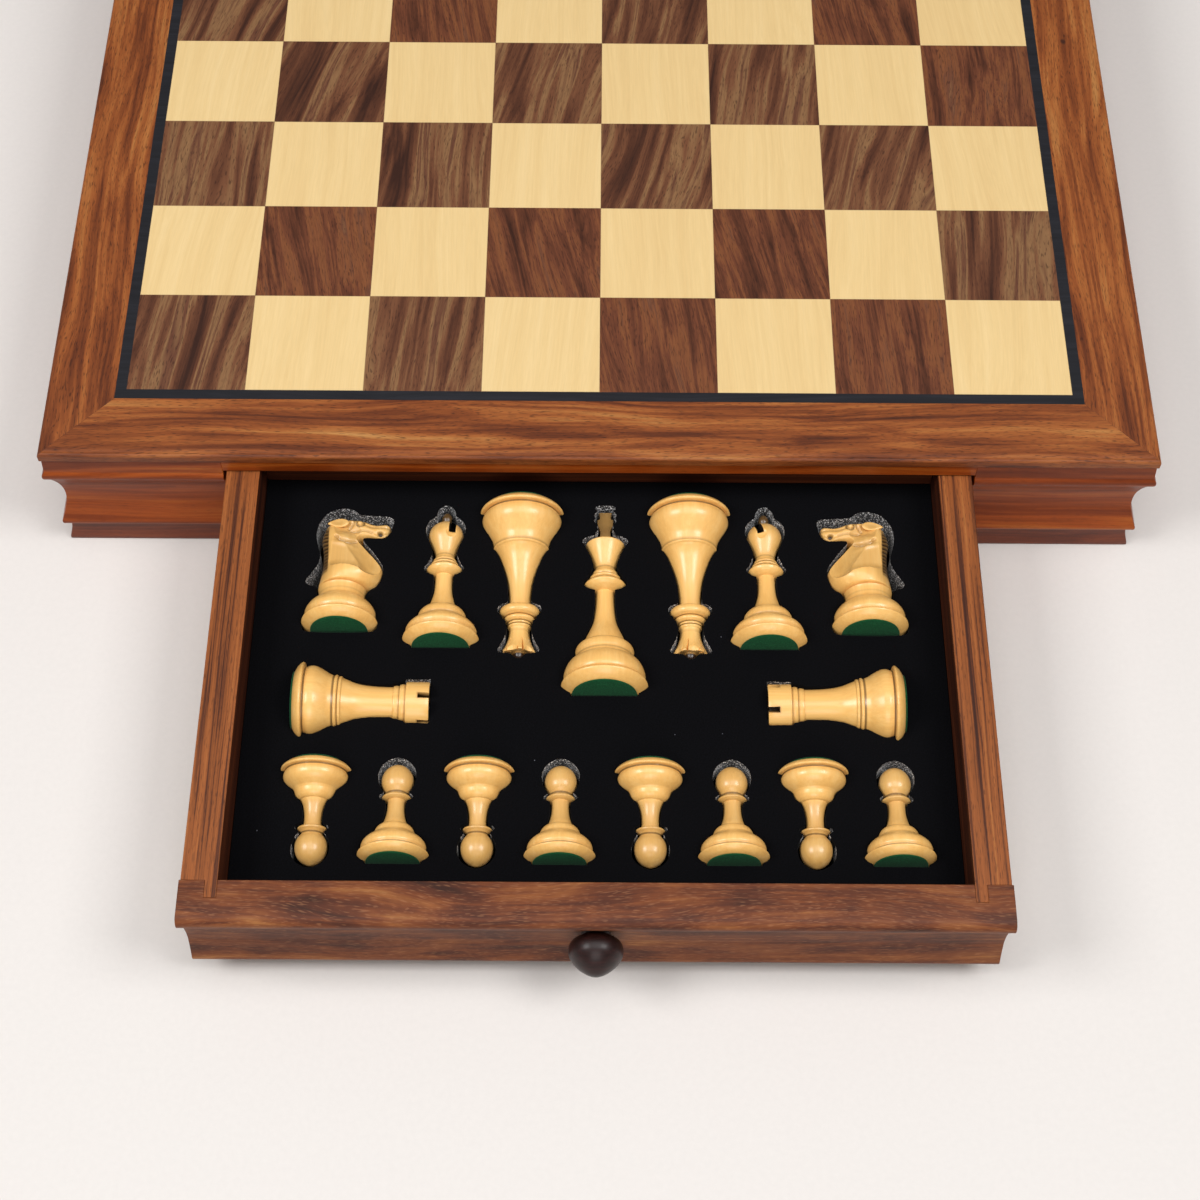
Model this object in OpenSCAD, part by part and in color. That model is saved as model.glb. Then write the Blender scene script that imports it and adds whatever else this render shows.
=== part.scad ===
// Chess box with a board on its top and a drawer of chess men at its front and at its back.
// Origin: centre of the underside. The front drawer pulls out towards -Y, the back drawer towards +Y.

/* [Board] */
// Side of one square of the board
square = 57; // [56:0.5:64]
// Width of the inlaid strip round the squares
strip_w = 5.3; // [3:0.1:8]
// Width of the mitred frame rails
frame_w = 33; // [26:0.5:40]
// Thickness of the frame rails
frame_t = 6; // [5:0.5:9]
// Thickness of the squares and of the inlaid strip
veneer_t = 0.8; // [0.6:0.1:1.5]
// Radius of the frame's upper outer edge
frame_edge_r = 1.5; // [0.8:0.1:2.5]

/* [Case] */
// Height of the whole box
case_h = 76; // [74:0.5:86]
// Thickness of the moulded case walls, at their foot
wall_t = 22; // [18:0.5:26]
// Height of the plinth below the walls
plinth_h = 15; // [13:0.5:17]
// Width of the plinth rails
plinth_w = 30; // [26:0.5:40]
// Thickness of the base panel
base_t = 4; // [3:0.5:6]
// Thickness of the deck that carries the board
deck_t = 5; // [4:0.5:6]
// Thickness of the wall between the two drawer bays
divider_t = 18; // [12:0.5:20]
// Thickness of the boards beside each drawer
guide_t = 12; // [8:0.5:16]
// Width of the strips that carry each drawer
runner_w = 20; // [14:0.5:24]
// Height of the rail above each drawer opening
rail_h = 7; // [6:0.5:9]

/* [Moulding] */
// How far the rounded nose stands proud of the frame
nose_out = 1.3; // [0.6:0.1:2]
// Radius of the nose
nose_r = 4.2; // [3:0.1:5]
// Drop from the rail's lower edge to the middle of the nose
nose_drop = 5.2; // [4.4:0.1:6.4]
// Set-back of the moulding at its narrowest
neck_in = 4.4; // [3:0.1:6]
// Height of the narrowest place above the plinth
neck_up = 16.5; // [13:0.5:19]
// How far the lower lip stands proud of the frame
lip_out = 0.7; // [0.3:0.1:1.2]
// Set-back of the plinth under the lip
plinth_in = 2.2; // [1.4:0.1:3]

/* [Drawers] */
// Outer width across the drawer sides
drawer_w = 356.6; // [352:0.2:364]
// Thickness of the drawer front at its top
front_t = 20; // [16:0.5:22]
// Thickness of the drawer sides
side_t = 16; // [12:0.5:17]
// Thickness of the drawer back
back_t = 12; // [8:0.5:14]
// Thickness of the drawer bottom
bottom_t = 2.5; // [2.5:0.1:4]
// Extra width of the drawer front beyond each side
front_over = 0.7; // [0.3:0.1:1]
// Width of the tongue that joins a side to the front
tongue_w = 5.3; // [4:0.1:7]
// Length of the tongue
tongue_len = 8; // [5:0.5:11]
// Free space between the closed drawer and the divider
rear_gap = 9.8; // [4:0.2:14]
// Length of drawer still held in the case when it is out
held_len = 21.2; // [20.6:0.2:40]
// Clearance beside the drawer front in its opening
side_gap = 1; // [0.5:0.1:2]
// Clearance above the drawer
top_gap = 0.8; // [0.5:0.1:1.5]
// Clearance below the drawer
run_gap = 0.3; // [0.2:0.05:0.6]
// How far the runners stand above the plinth
runner_up = 0.2; // [0.1:0.05:0.4]

/* [Knob] */
// Largest diameter of the turned knob
knob_d = 23.4; // [18:0.2:28]
// Length of the knob from the drawer front
knob_len = 20; // [16:0.5:24]
// Diameter of the knob's foot
knob_foot_d = 13; // [10:0.5:15]
// Height of the knob above the underside of the drawer
knob_up = 23; // [18:0.5:26]
// Diameter of the screw that holds the knob
screw_d = 4; // [3:0.5:5]

/* [Insert] */
// Thickness of lining left under the deepest well
lining_t = 1.2; // [1:0.1:2]
// Clearance between a man and the side of its pocket
pocket_gap = 2; // [1.6:0.1:2.4]
// Clearance between a man and the floor of its pocket
seat_gap = 0.3; // [0.2:0.05:0.6]
// How far the lining's top lies above the axes of the men, at their bases
insert_rise = 1.6; // [0:0.1:2.4]
// Clearance round the insert
insert_gap = 0.4; // [0.3:0.1:0.8]
// How far each man tips towards its head, in degrees
man_tip = 3; // [1:0.5:3.5]

/* [Men] */
// Height of the king
king_h = 102; // [96:0.5:103]
// Diameter of the king's base
king_d = 40.5; // [38:0.5:42]
// Height of the queens
queen_h = 84; // [80:0.5:90]
// Diameter of the queens' bases
queen_d = 40.3; // [37:0.1:41]
// Height of the bishops
bishop_h = 77; // [73:0.5:80]
// Diameter of the bishops' bases
bishop_d = 36; // [34:0.5:38.5]
// Height of the knights
knight_h = 67; // [62:0.5:70]
// Diameter of the knights' bases
knight_d = 36; // [33:0.5:38]
// Height of the rooks
rook_h = 63; // [59:0.5:66]
// Diameter of the rooks' bases
rook_d = 37; // [34:0.2:40]
// Height of the pawns
pawn_h = 49; // [46:0.5:52]
// Diameter of the pawns' bases
pawn_d = 32; // [30:0.2:33.6]
// Slots in the crown of each rook
crown_slots = 5; // [4:1:8]
// Width of each slot
slot_w = 2.8; // [2:0.1:3.5]
// Depth of each slot
slot_len = 5.2; // [3.5:0.1:5.6]
// Thickness of the felt under each man
felt_t = 1; // [0.8:0.1:1.5]
// Thickness of the glue between a man and its felt
glue_t = 0.05; // [0.02:0.01:0.1]
// How far a man is lifted out of the drawer
man_lift = 90; // [80:5:120]

/* [Layout of the pockets] */
// Space between the drawer front and the pawns
pawn_margin = 16.4; // [10:0.2:18]
// Space between the outer pawns and the drawer sides
pawn_side = 15.4; // [12:0.1:17]
// Extra space between the two pawns at the middle
pawn_mid = 3.4; // [0:0.1:4]
// Shift of the row of pawns to the right
pawn_shift = 3.8; // [-4:0.1:4]
// Space between the pawns and the rooks
rook_space = 12.5; // [6:0.5:14]
// Space between the drawer side and the rooks
rook_margin = 21; // [15:0.5:24]
// Shift of the rooks to the right
rook_shift = 0.5; // [-3:0.1:3]
// Shift of the back row to the right
row_shift = 3.2; // [-4:0.1:4]
// Distance from each knight's axis to the drawer side
knight_side = 37.3; // [34:0.1:40]
// Place of the bishops between the king and the knights
bishop_share = 0.616; // [0.6:0.002:0.63]
// Place of the queens between the king and the knights
queen_share = 0.323; // [0.316:0.001:0.33]
// Space behind the queens' bases
queen_margin = 13.4; // [11:0.2:15]
// Space behind the king's head
king_margin = 15; // [12:0.2:17]
// Space behind the bishops' heads
bishop_margin = 15.4; // [13:0.2:18]
// Space behind the knights' heads
knight_margin = 17; // [12:0.2:19]

/* [Hidden] */
$fn = 64;
ranks = 8;
playing = ranks * square;
outer = playing + 2 * (strip_w + frame_w);
half = outer / 2;
frame_z = case_h - frame_t;
veneer_z = case_h - veneer_t;
deck_z = frame_z - deck_t;
opening_z = frame_z - rail_h;
inner = outer - 2 * wall_t;

// Drawer, in the place it has when it is closed
drawer_top = opening_z - top_gap;
drawer_z = plinth_h + runner_up + run_gap;
runner_top = drawer_z - run_gap;
panel_top = drawer_z + bottom_t;
front_w = drawer_w + 2 * front_over;
opening_w = front_w + 2 * side_gap;
face_y = -half - nose_out;
inside_y = face_y + front_t;
tail_y = -divider_t / 2 - rear_gap;
back_y = tail_y - back_t;
bay_w = drawer_w - 2 * side_t;
bay_len = back_y - inside_y;
drawer_pull = tail_y + half - held_len;

// Moulding shared by the case walls and the drawer fronts, as [set-back, height]
nose_z = opening_z - nose_drop;
neck_z = plinth_h + neck_up;
lip_z = plinth_h + 1.5;
arc_steps = 8;
function arc(c, r, a0, a1, n = arc_steps) =
    [for (i = [0:n]) let (a = a0 + (a1 - a0) * i / n) [c[0] + r * cos(a), c[1] + r * sin(a)]];
function bow(p, q, sag, n = arc_steps) =
    [for (i = [0:n]) let (t = i / n) p + (q - p) * t + [sag * 4 * t * (1 - t), 0]];
nose_c = [nose_r - nose_out, nose_z];
neck_bow = 1.6;
nose_turn = 60;
moulding = concat(
    arc(nose_c, nose_r, 180, 180 + nose_turn, 5),
    bow([nose_c[0] - nose_r * cos(nose_turn) + 0.2, nose_z - nose_r * sin(nose_turn) - 1],
        [neck_in - 0.5, neck_z - 0.5], neck_bow),
    [[-lip_out + 0.1, lip_z + 1], [-lip_out, lip_z], [-lip_out + 0.4, plinth_h]]);
wall_top_in = 0.8;

// The wall: bevel under the frame, nose, hollow and flared foot
wall_profile = concat(
    [[wall_t, plinth_h], [wall_t, frame_z], [wall_top_in, frame_z]],
    arc(nose_c, nose_r, 132, 172, 3),
    moulding);
face_in = nose_out + front_t - 2 * nose_out;
face_low = [moulding[len(moulding) - 1][0], drawer_z];
face_profile = concat(
    [[face_in, drawer_z], [face_in, drawer_top]],
    [for (p = arc(nose_c, nose_r, 95, 172, 5)) [p[0], min(p[1], drawer_top)]],
    [for (p = moulding) [p[0], max(p[1], drawer_z)]]);
plinth_profile = concat(
    [[plinth_w, 0], [plinth_w, plinth_h], [plinth_in, plinth_h], [plinth_in, plinth_h - 4.5]],
    [[plinth_in - 0.8, plinth_h - 8.5], [0.4, 3], [0, 1.6], [0, 0.6], [0.5, 0]]);
frame_profile = concat(
    [[frame_w, frame_z], [frame_w, case_h], [5, case_h], [frame_edge_r, case_h - 0.35]],
    arc([frame_edge_r, case_h - 0.35 - frame_edge_r], frame_edge_r, 110, 180, 4),
    [[0, frame_z + 0.6], [0.6, frame_z]]);

rosewood = "#8b4a2b";
maple = "#f2d79b";
walnut = "#7a4a33";
ebony = "#2a2a30";
boxwood = "#e6b870";
dark_wood = "#4a2218";
plywood = "#c8a878";
velvet = "#101012";
steel = "#b0b0b0";

// A length of moulding along the front edge of the box, cut to mitres at both ends
module mitred(profile) {
    reach = half + nose_out + 1;
    depth = 60;
    intersection() {
        rotate([90, 0, 90])
            linear_extrude(height = 2 * reach, center = true)
                polygon([for (p = profile) [p[0] - half, p[1]]]);
        linear_extrude(height = case_h + 1)
            polygon([[-reach, -reach], [reach, -reach], [reach - depth, depth - reach],
                [depth - reach, depth - reach]]);
    }
}

// Keeps the part of a front moulding between two places along X and above a height
module between(x0, x1, z0) {
    intersection() {
        children();
        translate([x0, -outer, z0])
            cube([x1 - x0, outer, case_h]);
    }
}

module turned_to(quarter) {
    rotate([0, 0, 90 * quarter])
        children();
}

module top_frame(quarter) {
    color(rosewood)
        turned_to(quarter)
            mitred(frame_profile);
}

module inlay_strips() {
    edge = playing / 2 + strip_w;
    color(ebony)
        for (quarter = [0:3])
            turned_to(quarter)
                translate([0, 0, veneer_z])
                    linear_extrude(height = veneer_t)
                        polygon([[-edge, -edge], [edge, -edge], [playing / 2, -playing / 2],
                            [-playing / 2, -playing / 2]]);
}

// Squares of one colour; the left square of the nearest rank is dark
module squares(odd) {
    for (i = [0:ranks - 1])
        for (j = [0:ranks - 1])
            if ((i + j) % 2 == odd)
                translate([i * square - playing / 2, j * square - playing / 2, veneer_z])
                    cube([square, square, veneer_t]);
}

module light_squares() {
    color(maple) squares(1);
}

module dark_squares() {
    color(walnut) squares(0);
}

module slab(w, d, z0, z1) {
    translate([-w / 2, -d / 2, z0])
        cube([w, d, z1 - z0]);
}

module board_core() {
    side = playing + 2 * strip_w;
    color(plywood) slab(side, side, frame_z, veneer_z);
}

module top_deck() {
    color(plywood) slab(inner, inner, deck_z, frame_z);
}

module case_side(quarter) {
    color(rosewood)
        turned_to(quarter)
            mitred(wall_profile);
}

module cheek(side, quarter) {
    color(rosewood)
        turned_to(quarter)
            if (side < 0)
                between(-outer, -opening_w / 2, 0) mitred(wall_profile);
            else
                between(opening_w / 2, outer, 0) mitred(wall_profile);
}

module opening_rail(quarter) {
    color(rosewood)
        turned_to(quarter)
            between(-opening_w / 2, opening_w / 2, opening_z) mitred(wall_profile);
}

module plinth(quarter) {
    color(rosewood)
        turned_to(quarter)
            mitred(plinth_profile);
}

module base_panel() {
    side = outer - 2 * plinth_w;
    color(plywood) slab(side, side, 0, base_t);
}

module centre_divider() {
    color(plywood) {
        slab(outer - 2 * plinth_w, divider_t, base_t, plinth_h);
        slab(inner, divider_t, plinth_h, deck_z);
    }
}

// Boards that keep each drawer straight, from the cheek to the divider, notched over the plinth
module drawer_guides() {
    guide_len = inner / 2 - divider_t / 2;
    foot_len = half - plinth_w - divider_t / 2;
    color(plywood)
        for (turn = [0, 2])
            turned_to(turn)
                for (side = [-1, 1])
                    translate([side * (opening_w + guide_t) / 2 - guide_t / 2, -divider_t / 2, 0]) {
                        translate([0, -guide_len, plinth_h])
                            cube([guide_t, guide_len, deck_z - plinth_h]);
                        translate([0, -foot_len, base_t])
                            cube([guide_t, foot_len, plinth_h - base_t]);
                    }
}

// Strips under the drawer sides, from the plinth to the divider
module drawer_runners() {
    runner_len = half - plinth_w - divider_t / 2;
    color(plywood)
        for (turn = [0, 2])
            turned_to(turn)
                for (side = [-1, 1])
                    translate([side * (opening_w - runner_w) / 2 - runner_w / 2, plinth_w - half, base_t])
                        cube([runner_w, runner_len, runner_top - base_t]);
}

// Drawer pieces are drawn for the front drawer when it is closed
module placed(bay) {
    if (bay == "front")
        translate([0, -drawer_pull, 0]) children();
    else
        rotate([0, 0, 180]) children();
}

module tongue_slot(side) {
    translate([side * (bay_w + tongue_w) / 2 - tongue_w / 2, inside_y - tongue_len, panel_top])
        cube([tongue_w, tongue_len, drawer_top - panel_top]);
}

knob_z = drawer_z + knob_up;
knob_y = -half + neck_in;
head_d = 2 * screw_d;
head_t = 2.6;
screw_gap = 0.1;

module along_y(y0) {
    translate([0, y0, knob_z])
        rotate([90, 0, 0])
            children();
}

module drawer_face(bay) {
    color(rosewood)
        placed(bay)
            difference() {
                rotate([90, 0, 90])
                    linear_extrude(height = front_w, center = true)
                        polygon([for (p = face_profile) [p[0] - half, p[1]]]);
                tongue_slot(-1);
                tongue_slot(1);
                along_y(inside_y + 1)
                    cylinder(h = front_t + 2, d = screw_d + 2 * screw_gap);
                along_y(inside_y + 1)
                    cylinder(h = head_t + 1 + screw_gap, d = head_d + 2 * screw_gap);
                along_y(knob_y + 1.2)
                    cylinder(h = 10, d = knob_foot_d + 2 * screw_gap);
            }
}

module drawer_side(bay, side) {
    color(rosewood)
        placed(bay) {
            translate([side * (drawer_w - side_t) / 2 - side_t / 2, inside_y, panel_top])
                cube([side_t, tail_y - inside_y, drawer_top - panel_top]);
            tongue_slot(side);
        }
}

module drawer_back(bay) {
    color(rosewood)
        placed(bay)
            translate([-bay_w / 2, back_y, panel_top])
                cube([bay_w, back_t, drawer_top - panel_top]);
}

module drawer_bottom(bay) {
    color(plywood)
        placed(bay)
            translate([-drawer_w / 2, inside_y, drawer_z])
                cube([drawer_w, tail_y - inside_y, bottom_t]);
}

// Turned knob: a foot let into the hollow of the front, and a slightly flattened ball
module drawer_knob(bay) {
    r = knob_d / 2;
    foot_h = 2;
    ball = (knob_len - foot_h) / 2;
    ball_profile = [for (i = [0:10]) let (a = -58 + (90 + 58) * i / 10)
        [r * cos(a), foot_h + ball + ball * sin(a)]];
    color(dark_wood)
        placed(bay)
            along_y(knob_y + 1)
                difference() {
                    rotate_extrude()
                        polygon(concat([[0, 0], [knob_foot_d / 2, 0], [knob_foot_d / 2, 1.4]],
                            ball_profile));
                    translate([0, 0, -1])
                        cylinder(h = 0.6 * knob_len + 1, d = screw_d + 2 * screw_gap);
                }
}

module drawer_screw(bay) {
    color(steel)
        placed(bay)
            along_y(inside_y) {
                cylinder(h = head_t, d = head_d);
                translate([0, 0, head_t])
                    cylinder(h = inside_y - knob_y - head_t + 0.45 * knob_len, d = screw_d);
            }
}

// Outlines of the turned men, as [radius, height], from shares of base radius r and height h
function foot(r) = [[0, felt_t], [0.77 * r, felt_t], [0.98 * r, 0.19 * r], [r, 0.24 * r],
    [0.89 * r, 0.29 * r], [0.95 * r, 0.42 * r], [0.94 * r, 0.58 * r], [0.86 * r, 0.76 * r]];
function collar(r, z, t) = [[0.72 * r, z - t], [r, z - 0.3 * t], [r, z + 0.3 * t], [0.75 * r, z + t]];
function king_profile(r, h) = concat(foot(r),
    [[0.69 * r, 0.98 * r], [0.69 * r, 1.16 * r], [0.48 * r, 1.43 * r], [0.32 * r, 0.365 * h],
        [0.24 * r, 0.45 * h], [0.23 * r, 0.55 * h]],
    collar(0.5 * r, 0.583 * h, 0.02 * h), collar(0.38 * r, 0.627 * h, 0.012 * h),
    [[0.26 * r, 0.65 * h], [0.26 * r, 0.68 * h], [0.48 * r, 0.81 * h], [0.14 * r, 0.82 * h],
        [0.13 * r, 0.9 * h], [0.19 * r, 0.93 * h], [0.19 * r, 0.96 * h], [0.15 * r, h], [0, h]]);
function queen_profile(r, h) = concat(foot(r),
    [[0.68 * r, 1.04 * r], [0.66 * r, 1.22 * r], [0.5 * r, 0.42 * h],
        [0.28 * r, 0.56 * h], [0.21 * r, 0.65 * h]],
    collar(0.49 * r, 0.696 * h, 0.022 * h), collar(0.37 * r, 0.742 * h, 0.012 * h),
    [[0.27 * r, 0.765 * h], [0.27 * r, 0.81 * h], [0.44 * r, 0.935 * h], [0.2 * r, 0.95 * h],
        [0.1 * r, 0.97 * h], [0.1 * r, 0.99 * h], [0.04 * r, h], [0, h]]);
function bishop_profile(r, h) = concat(foot(r),
    [[0.64 * r, 0.92 * r], [0.57 * r, 1.1 * r], [0.38 * r, 0.3 * h],
        [0.24 * r, 0.4 * h], [0.23 * r, 0.52 * h]],
    collar(0.47 * r, 0.556 * h, 0.02 * h), collar(0.36 * r, 0.597 * h, 0.012 * h),
    [[0.28 * r, 0.66 * h], [0.43 * r, 0.76 * h], [0.44 * r, 0.81 * h], [0.31 * r, 0.875 * h],
        [0.11 * r, 0.915 * h], [0.13 * r, 0.96 * h], [0.05 * r, h], [0, h]]);
function rook_profile(r, h) = concat(foot(r),
    [[0.7 * r, 1.02 * r], [0.66 * r, 1.2 * r], [0.5 * r, 0.46 * h], [0.44 * r, 0.58 * h],
        [0.43 * r, 0.73 * h], [0.47 * r, 0.75 * h], [0.51 * r, 0.8 * h], [0.52 * r, 0.825 * h],
        [0.59 * r, 0.845 * h], [0.59 * r, h], [0.4 * r, h], [0.38 * r, 0.9 * h], [0, 0.9 * h]]);
function pawn_profile(r, h) = concat(foot(r),
    [[0.57 * r, 0.93 * r], [0.51 * r, 1.08 * r], [0.32 * r, 0.42 * h],
        [0.25 * r, 0.52 * h], [0.25 * r, 0.62 * h]],
    collar(0.41 * r, 0.657 * h, 0.016 * h),
    [[0.28 * r, 0.7 * h], [0.4 * r, 0.755 * h], [0.45 * r, 0.83 * h], [0.38 * r, 0.92 * h],
        [0.18 * r, 0.985 * h], [0, h]]);
function knight_base_profile(r, h) = concat(foot(r),
    [[0.6 * r, 0.92 * r], [0.6 * r, 1.1 * r], [0.7 * r, 0.35 * h], [0.66 * r, 0.39 * h],
        [0, 0.39 * h]]);
// Side view of the horse's neck and head, facing +X
function horse(r, h) = [[-0.62 * r, 0.35 * h], [0.62 * r, 0.35 * h], [0.9 * r, 0.41 * h],
    [0.97 * r, 0.49 * h], [0.42 * r, 0.65 * h], [0.3 * r, 0.745 * h], [0.9 * r, 0.765 * h],
    [1.13 * r, 0.83 * h], [1.02 * r, 0.885 * h], [0.48 * r, 0.895 * h], [0.05 * r, 0.94 * h],
    [-0.42 * r, h], [-0.47 * r, 0.84 * h], [-0.62 * r, 0.73 * h], [-0.58 * r, 0.55 * h]];

// [kind, radius, height] of each kind of man
king = ["king", king_d / 2, king_h];
queen = ["queen", queen_d / 2, queen_h];
bishop = ["bishop", bishop_d / 2, bishop_h];
knight = ["knight", knight_d / 2, knight_h];
rook = ["rook", rook_d / 2, rook_h];
pawn = ["pawn", pawn_d / 2, pawn_h];
function profile_of(man) =
    man[0] == "king" ? king_profile(man[1], man[2]) :
    man[0] == "queen" ? queen_profile(man[1], man[2]) :
    man[0] == "bishop" ? bishop_profile(man[1], man[2]) :
    man[0] == "rook" ? rook_profile(man[1], man[2]) :
    man[0] == "pawn" ? pawn_profile(man[1], man[2]) :
    knight_base_profile(man[1], man[2]);

module standing_man(man, wood) {
    color(wood)
        difference() {
            union() {
                rotate_extrude()
                    polygon(profile_of(man));
                if (man[0] == "knight")
                    translate([0, 0.42 * man[1], 0])
                        rotate([90, 0, 0])
                            linear_extrude(height = 0.84 * man[1])
                                polygon(horse(man[1], man[2]));
            }
            if (man[0] == "rook")
                for (i = [0:crown_slots - 1])
                    rotate([0, 0, 360 * i / crown_slots - 90])
                        translate([0, -slot_w / 2, man[2] - slot_len])
                            cube([man[1], slot_w, man[2]]);
        }
    color("#14502a")
        cylinder(h = felt_t - glue_t, r = 0.74 * man[1]);
}

// Height of the men's axes above the underside of the box, at their bases
axis_z = panel_top + lining_t + seat_gap + king_d / 2;
insert_top = axis_z + insert_rise;
foot_rise = 0.24;

// Places of the men: [man, x of the axis, y of its underside, heading, facing]
// y is measured from the inside of the drawer front; heading 0 points the head away from it
pawn_far = pawn_margin + pawn_h;
pawn_pitch = (bay_w - 2 * pawn_side - pawn_d - pawn_mid) / 7;
knight_off = bay_w / 2 - knight_side;
bishop_off = bishop_share * knight_off;
queen_off = queen_share * knight_off;
rook_y = pawn_far + rook_space + rook_d / 2;
rook_x = bay_w / 2 - rook_margin;
pieces = [
    [king, row_shift, bay_len - king_margin - king_h, 0, 1],
    [queen, row_shift - queen_off, bay_len - queen_margin, 180, 1],
    [queen, row_shift + queen_off, bay_len - queen_margin, 180, 1],
    [bishop, row_shift - bishop_off, bay_len - bishop_margin - bishop_h, 0, 1],
    [bishop, row_shift + bishop_off, bay_len - bishop_margin - bishop_h, 0, 1],
    [knight, row_shift - knight_off, bay_len - knight_margin - knight_h, 0, 1],
    [knight, row_shift + knight_off, bay_len - knight_margin - knight_h, 0, -1],
    [rook, rook_shift - rook_x, rook_y, -90, 1],
    [rook, rook_shift + rook_x, rook_y, 90, 1]];
pawns = [for (i = [0:7])
    let (side = i < 4 ? -1 : 1, step = i < 4 ? 3 - i : i - 4)
    [pawn, pawn_shift + side * (pawn_mid / 2 + (step + 0.5) * pawn_pitch),
        i % 2 == 0 ? pawn_far : pawn_margin, i % 2 == 0 ? 180 : 0, 1]];

module seat(place) {
    translate([place[1], inside_y + place[2], 0])
        rotate([0, 0, place[3]])
            children();
}

// A man lying in its pocket, its axis tipped a little down towards the head
module laid(place, wood, bay) {
    man = place[0];
    rise = foot_rise * man[1] * sin(man_tip);
    placed(bay)
        seat(place)
            translate([0, 0, axis_z + rise])
                rotate([-(90 + man_tip), 0, 0])
                    rotate([0, 0, place[4] > 0 ? 0 : 180])
                        standing_man(man, wood);
}

// Outline of a pocket seen from above: the man's outer outline grown by the clearance
crown_points = 3;
function outer_side(man) = let (side = profile_of(man))
    [for (i = [0:len(side) - 1 - (man[0] == "rook" ? crown_points : 0)]) side[i]];
function grown(man) = [for (p = outer_side(man)) if (p[0] > 0.01) [p[0] + pocket_gap, p[1]]];
function outline(side) = let (n = len(side)) concat(
    [[side[0][0], -pocket_gap]],
    side,
    [[side[n - 1][0], side[n - 1][1] + pocket_gap], [-side[n - 1][0], side[n - 1][1] + pocket_gap]],
    [for (i = [n - 1:-1:0]) [-side[i][0], side[i][1]]],
    [[-side[0][0], -pocket_gap]]);
function horse_pocket(r, h, g) = [[-0.8 * r - g, 0.3 * h], [0.8 * r + g, 0.3 * h],
    [1.0 * r + g, 0.44 * h], [0.97 * r + g, 0.5 * h + g], [0.6 * r + g, 0.68 * h],
    [1.13 * r + g, 0.72 * h], [1.2 * r + g, 0.85 * h], [1.0 * r + g, 0.89 * h + g],
    [0.3 * r, 0.93 * h + g], [-0.3 * r, h + g], [-0.55 * r - g, h + g], [-0.75 * r - g, 0.75 * h]];

// Radius of each head, and the share of the height that the deep well takes
function head_r(man) = man[1] * (man[0] == "rook" ? 0.59 : man[0] == "knight" ? 0.66 : 0.5);
well_share = 1.35;

module pocket_shape(man, facing) {
    polygon(outline(grown(man)));
    if (man[0] == "knight")
        scale([facing, 1])
            polygon(horse_pocket(man[1], man[2], pocket_gap));
}

module pocket(place) {
    man = place[0];
    r = man[1];
    drop = man[2] * sin(man_tip);
    well_z = axis_z - r - seat_gap;
    trough_z = max(axis_z - head_r(man) - drop - 0.5, well_z);
    reach = 2 * r + pocket_gap;
    seat(place) {
        translate([0, 0, trough_z])
            linear_extrude(height = case_h)
                pocket_shape(man, place[4]);
        translate([0, 0, well_z])
            linear_extrude(height = case_h)
                intersection() {
                    pocket_shape(man, place[4]);
                    translate([-reach, -2 * pocket_gap])
                        square([2 * reach, well_share * r + 2 * pocket_gap]);
                }
    }
}

// Velvet-covered foam with a pocket for each man
module insert(bay) {
    color(velvet)
        placed(bay)
            difference() {
                translate([insert_gap - bay_w / 2, inside_y + insert_gap, panel_top])
                    cube([bay_w - 2 * insert_gap, bay_len - 2 * insert_gap, insert_top - panel_top]);
                for (place = concat(pieces, pawns))
                    pocket(place);
            }
}

module dark_men(places) {
    for (place = places)
        laid(place, dark_wood, "back");
}

top_frame(0);  // top_frame_front
top_frame(1);  // top_frame_right
top_frame(2);  // top_frame_back
top_frame(3);  // top_frame_left
inlay_strips();
light_squares();
dark_squares();
board_core();
top_deck();
case_side(1);  // case_right
case_side(3);  // case_left
opening_rail(0);  // front_rail
cheek(-1, 0);  // front_cheek_left
cheek(1, 0);  // front_cheek_right
opening_rail(2);  // back_rail
cheek(1, 2);  // back_cheek_left
cheek(-1, 2);  // back_cheek_right
plinth(0);  // plinth_front
plinth(1);  // plinth_right
plinth(2);  // plinth_back
plinth(3);  // plinth_left
base_panel();
centre_divider();
drawer_guides();
drawer_runners();
drawer_face("front");  // front_drawer_face
drawer_side("front", -1);  // front_drawer_left
drawer_side("front", 1);  // front_drawer_right
drawer_back("front");  // front_drawer_back
drawer_bottom("front");  // front_drawer_bottom
drawer_knob("front");  // front_drawer_knob
drawer_screw("front");  // front_drawer_screw
insert("front");  // front_insert
drawer_face("back");  // back_drawer_face
drawer_side("back", 1);  // back_drawer_left
drawer_side("back", -1);  // back_drawer_right
drawer_back("back");  // back_drawer_back
drawer_bottom("back");  // back_drawer_bottom
drawer_knob("back");  // back_drawer_knob
drawer_screw("back");  // back_drawer_screw
insert("back");  // back_insert
laid(pieces[0], boxwood, "front");  // white_king
laid(pieces[1], boxwood, "front");  // white_queen_left
laid(pieces[2], boxwood, "front");  // white_queen_right
laid(pieces[3], boxwood, "front");  // white_bishop_left
laid(pieces[4], boxwood, "front");  // white_bishop_right
laid(pieces[5], boxwood, "front");  // white_knight_left
laid(pieces[6], boxwood, "front");  // white_knight_right
laid(pieces[7], boxwood, "front");  // white_rook_left
laid(pieces[8], boxwood, "front");  // white_rook_right
for (i = [0:7])
    laid(pawns[i], boxwood, "front");
dark_men(pieces);  // dark_pieces
dark_men(pawns);  // dark_pawns
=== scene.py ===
"""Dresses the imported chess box: mitred frame, veneered board, moulded case, two drawers and the men in their
pockets.

Sizes inside the shape functions are in millimetres and Blender's own are in metres. X runs along the front,
the front drawer is pulled out towards -Y and Z is up.
"""
import math

import bmesh
import bpy
import numpy as np
from mathutils import Matrix
from mathutils.geometry import delaunay_2d_cdt


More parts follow.
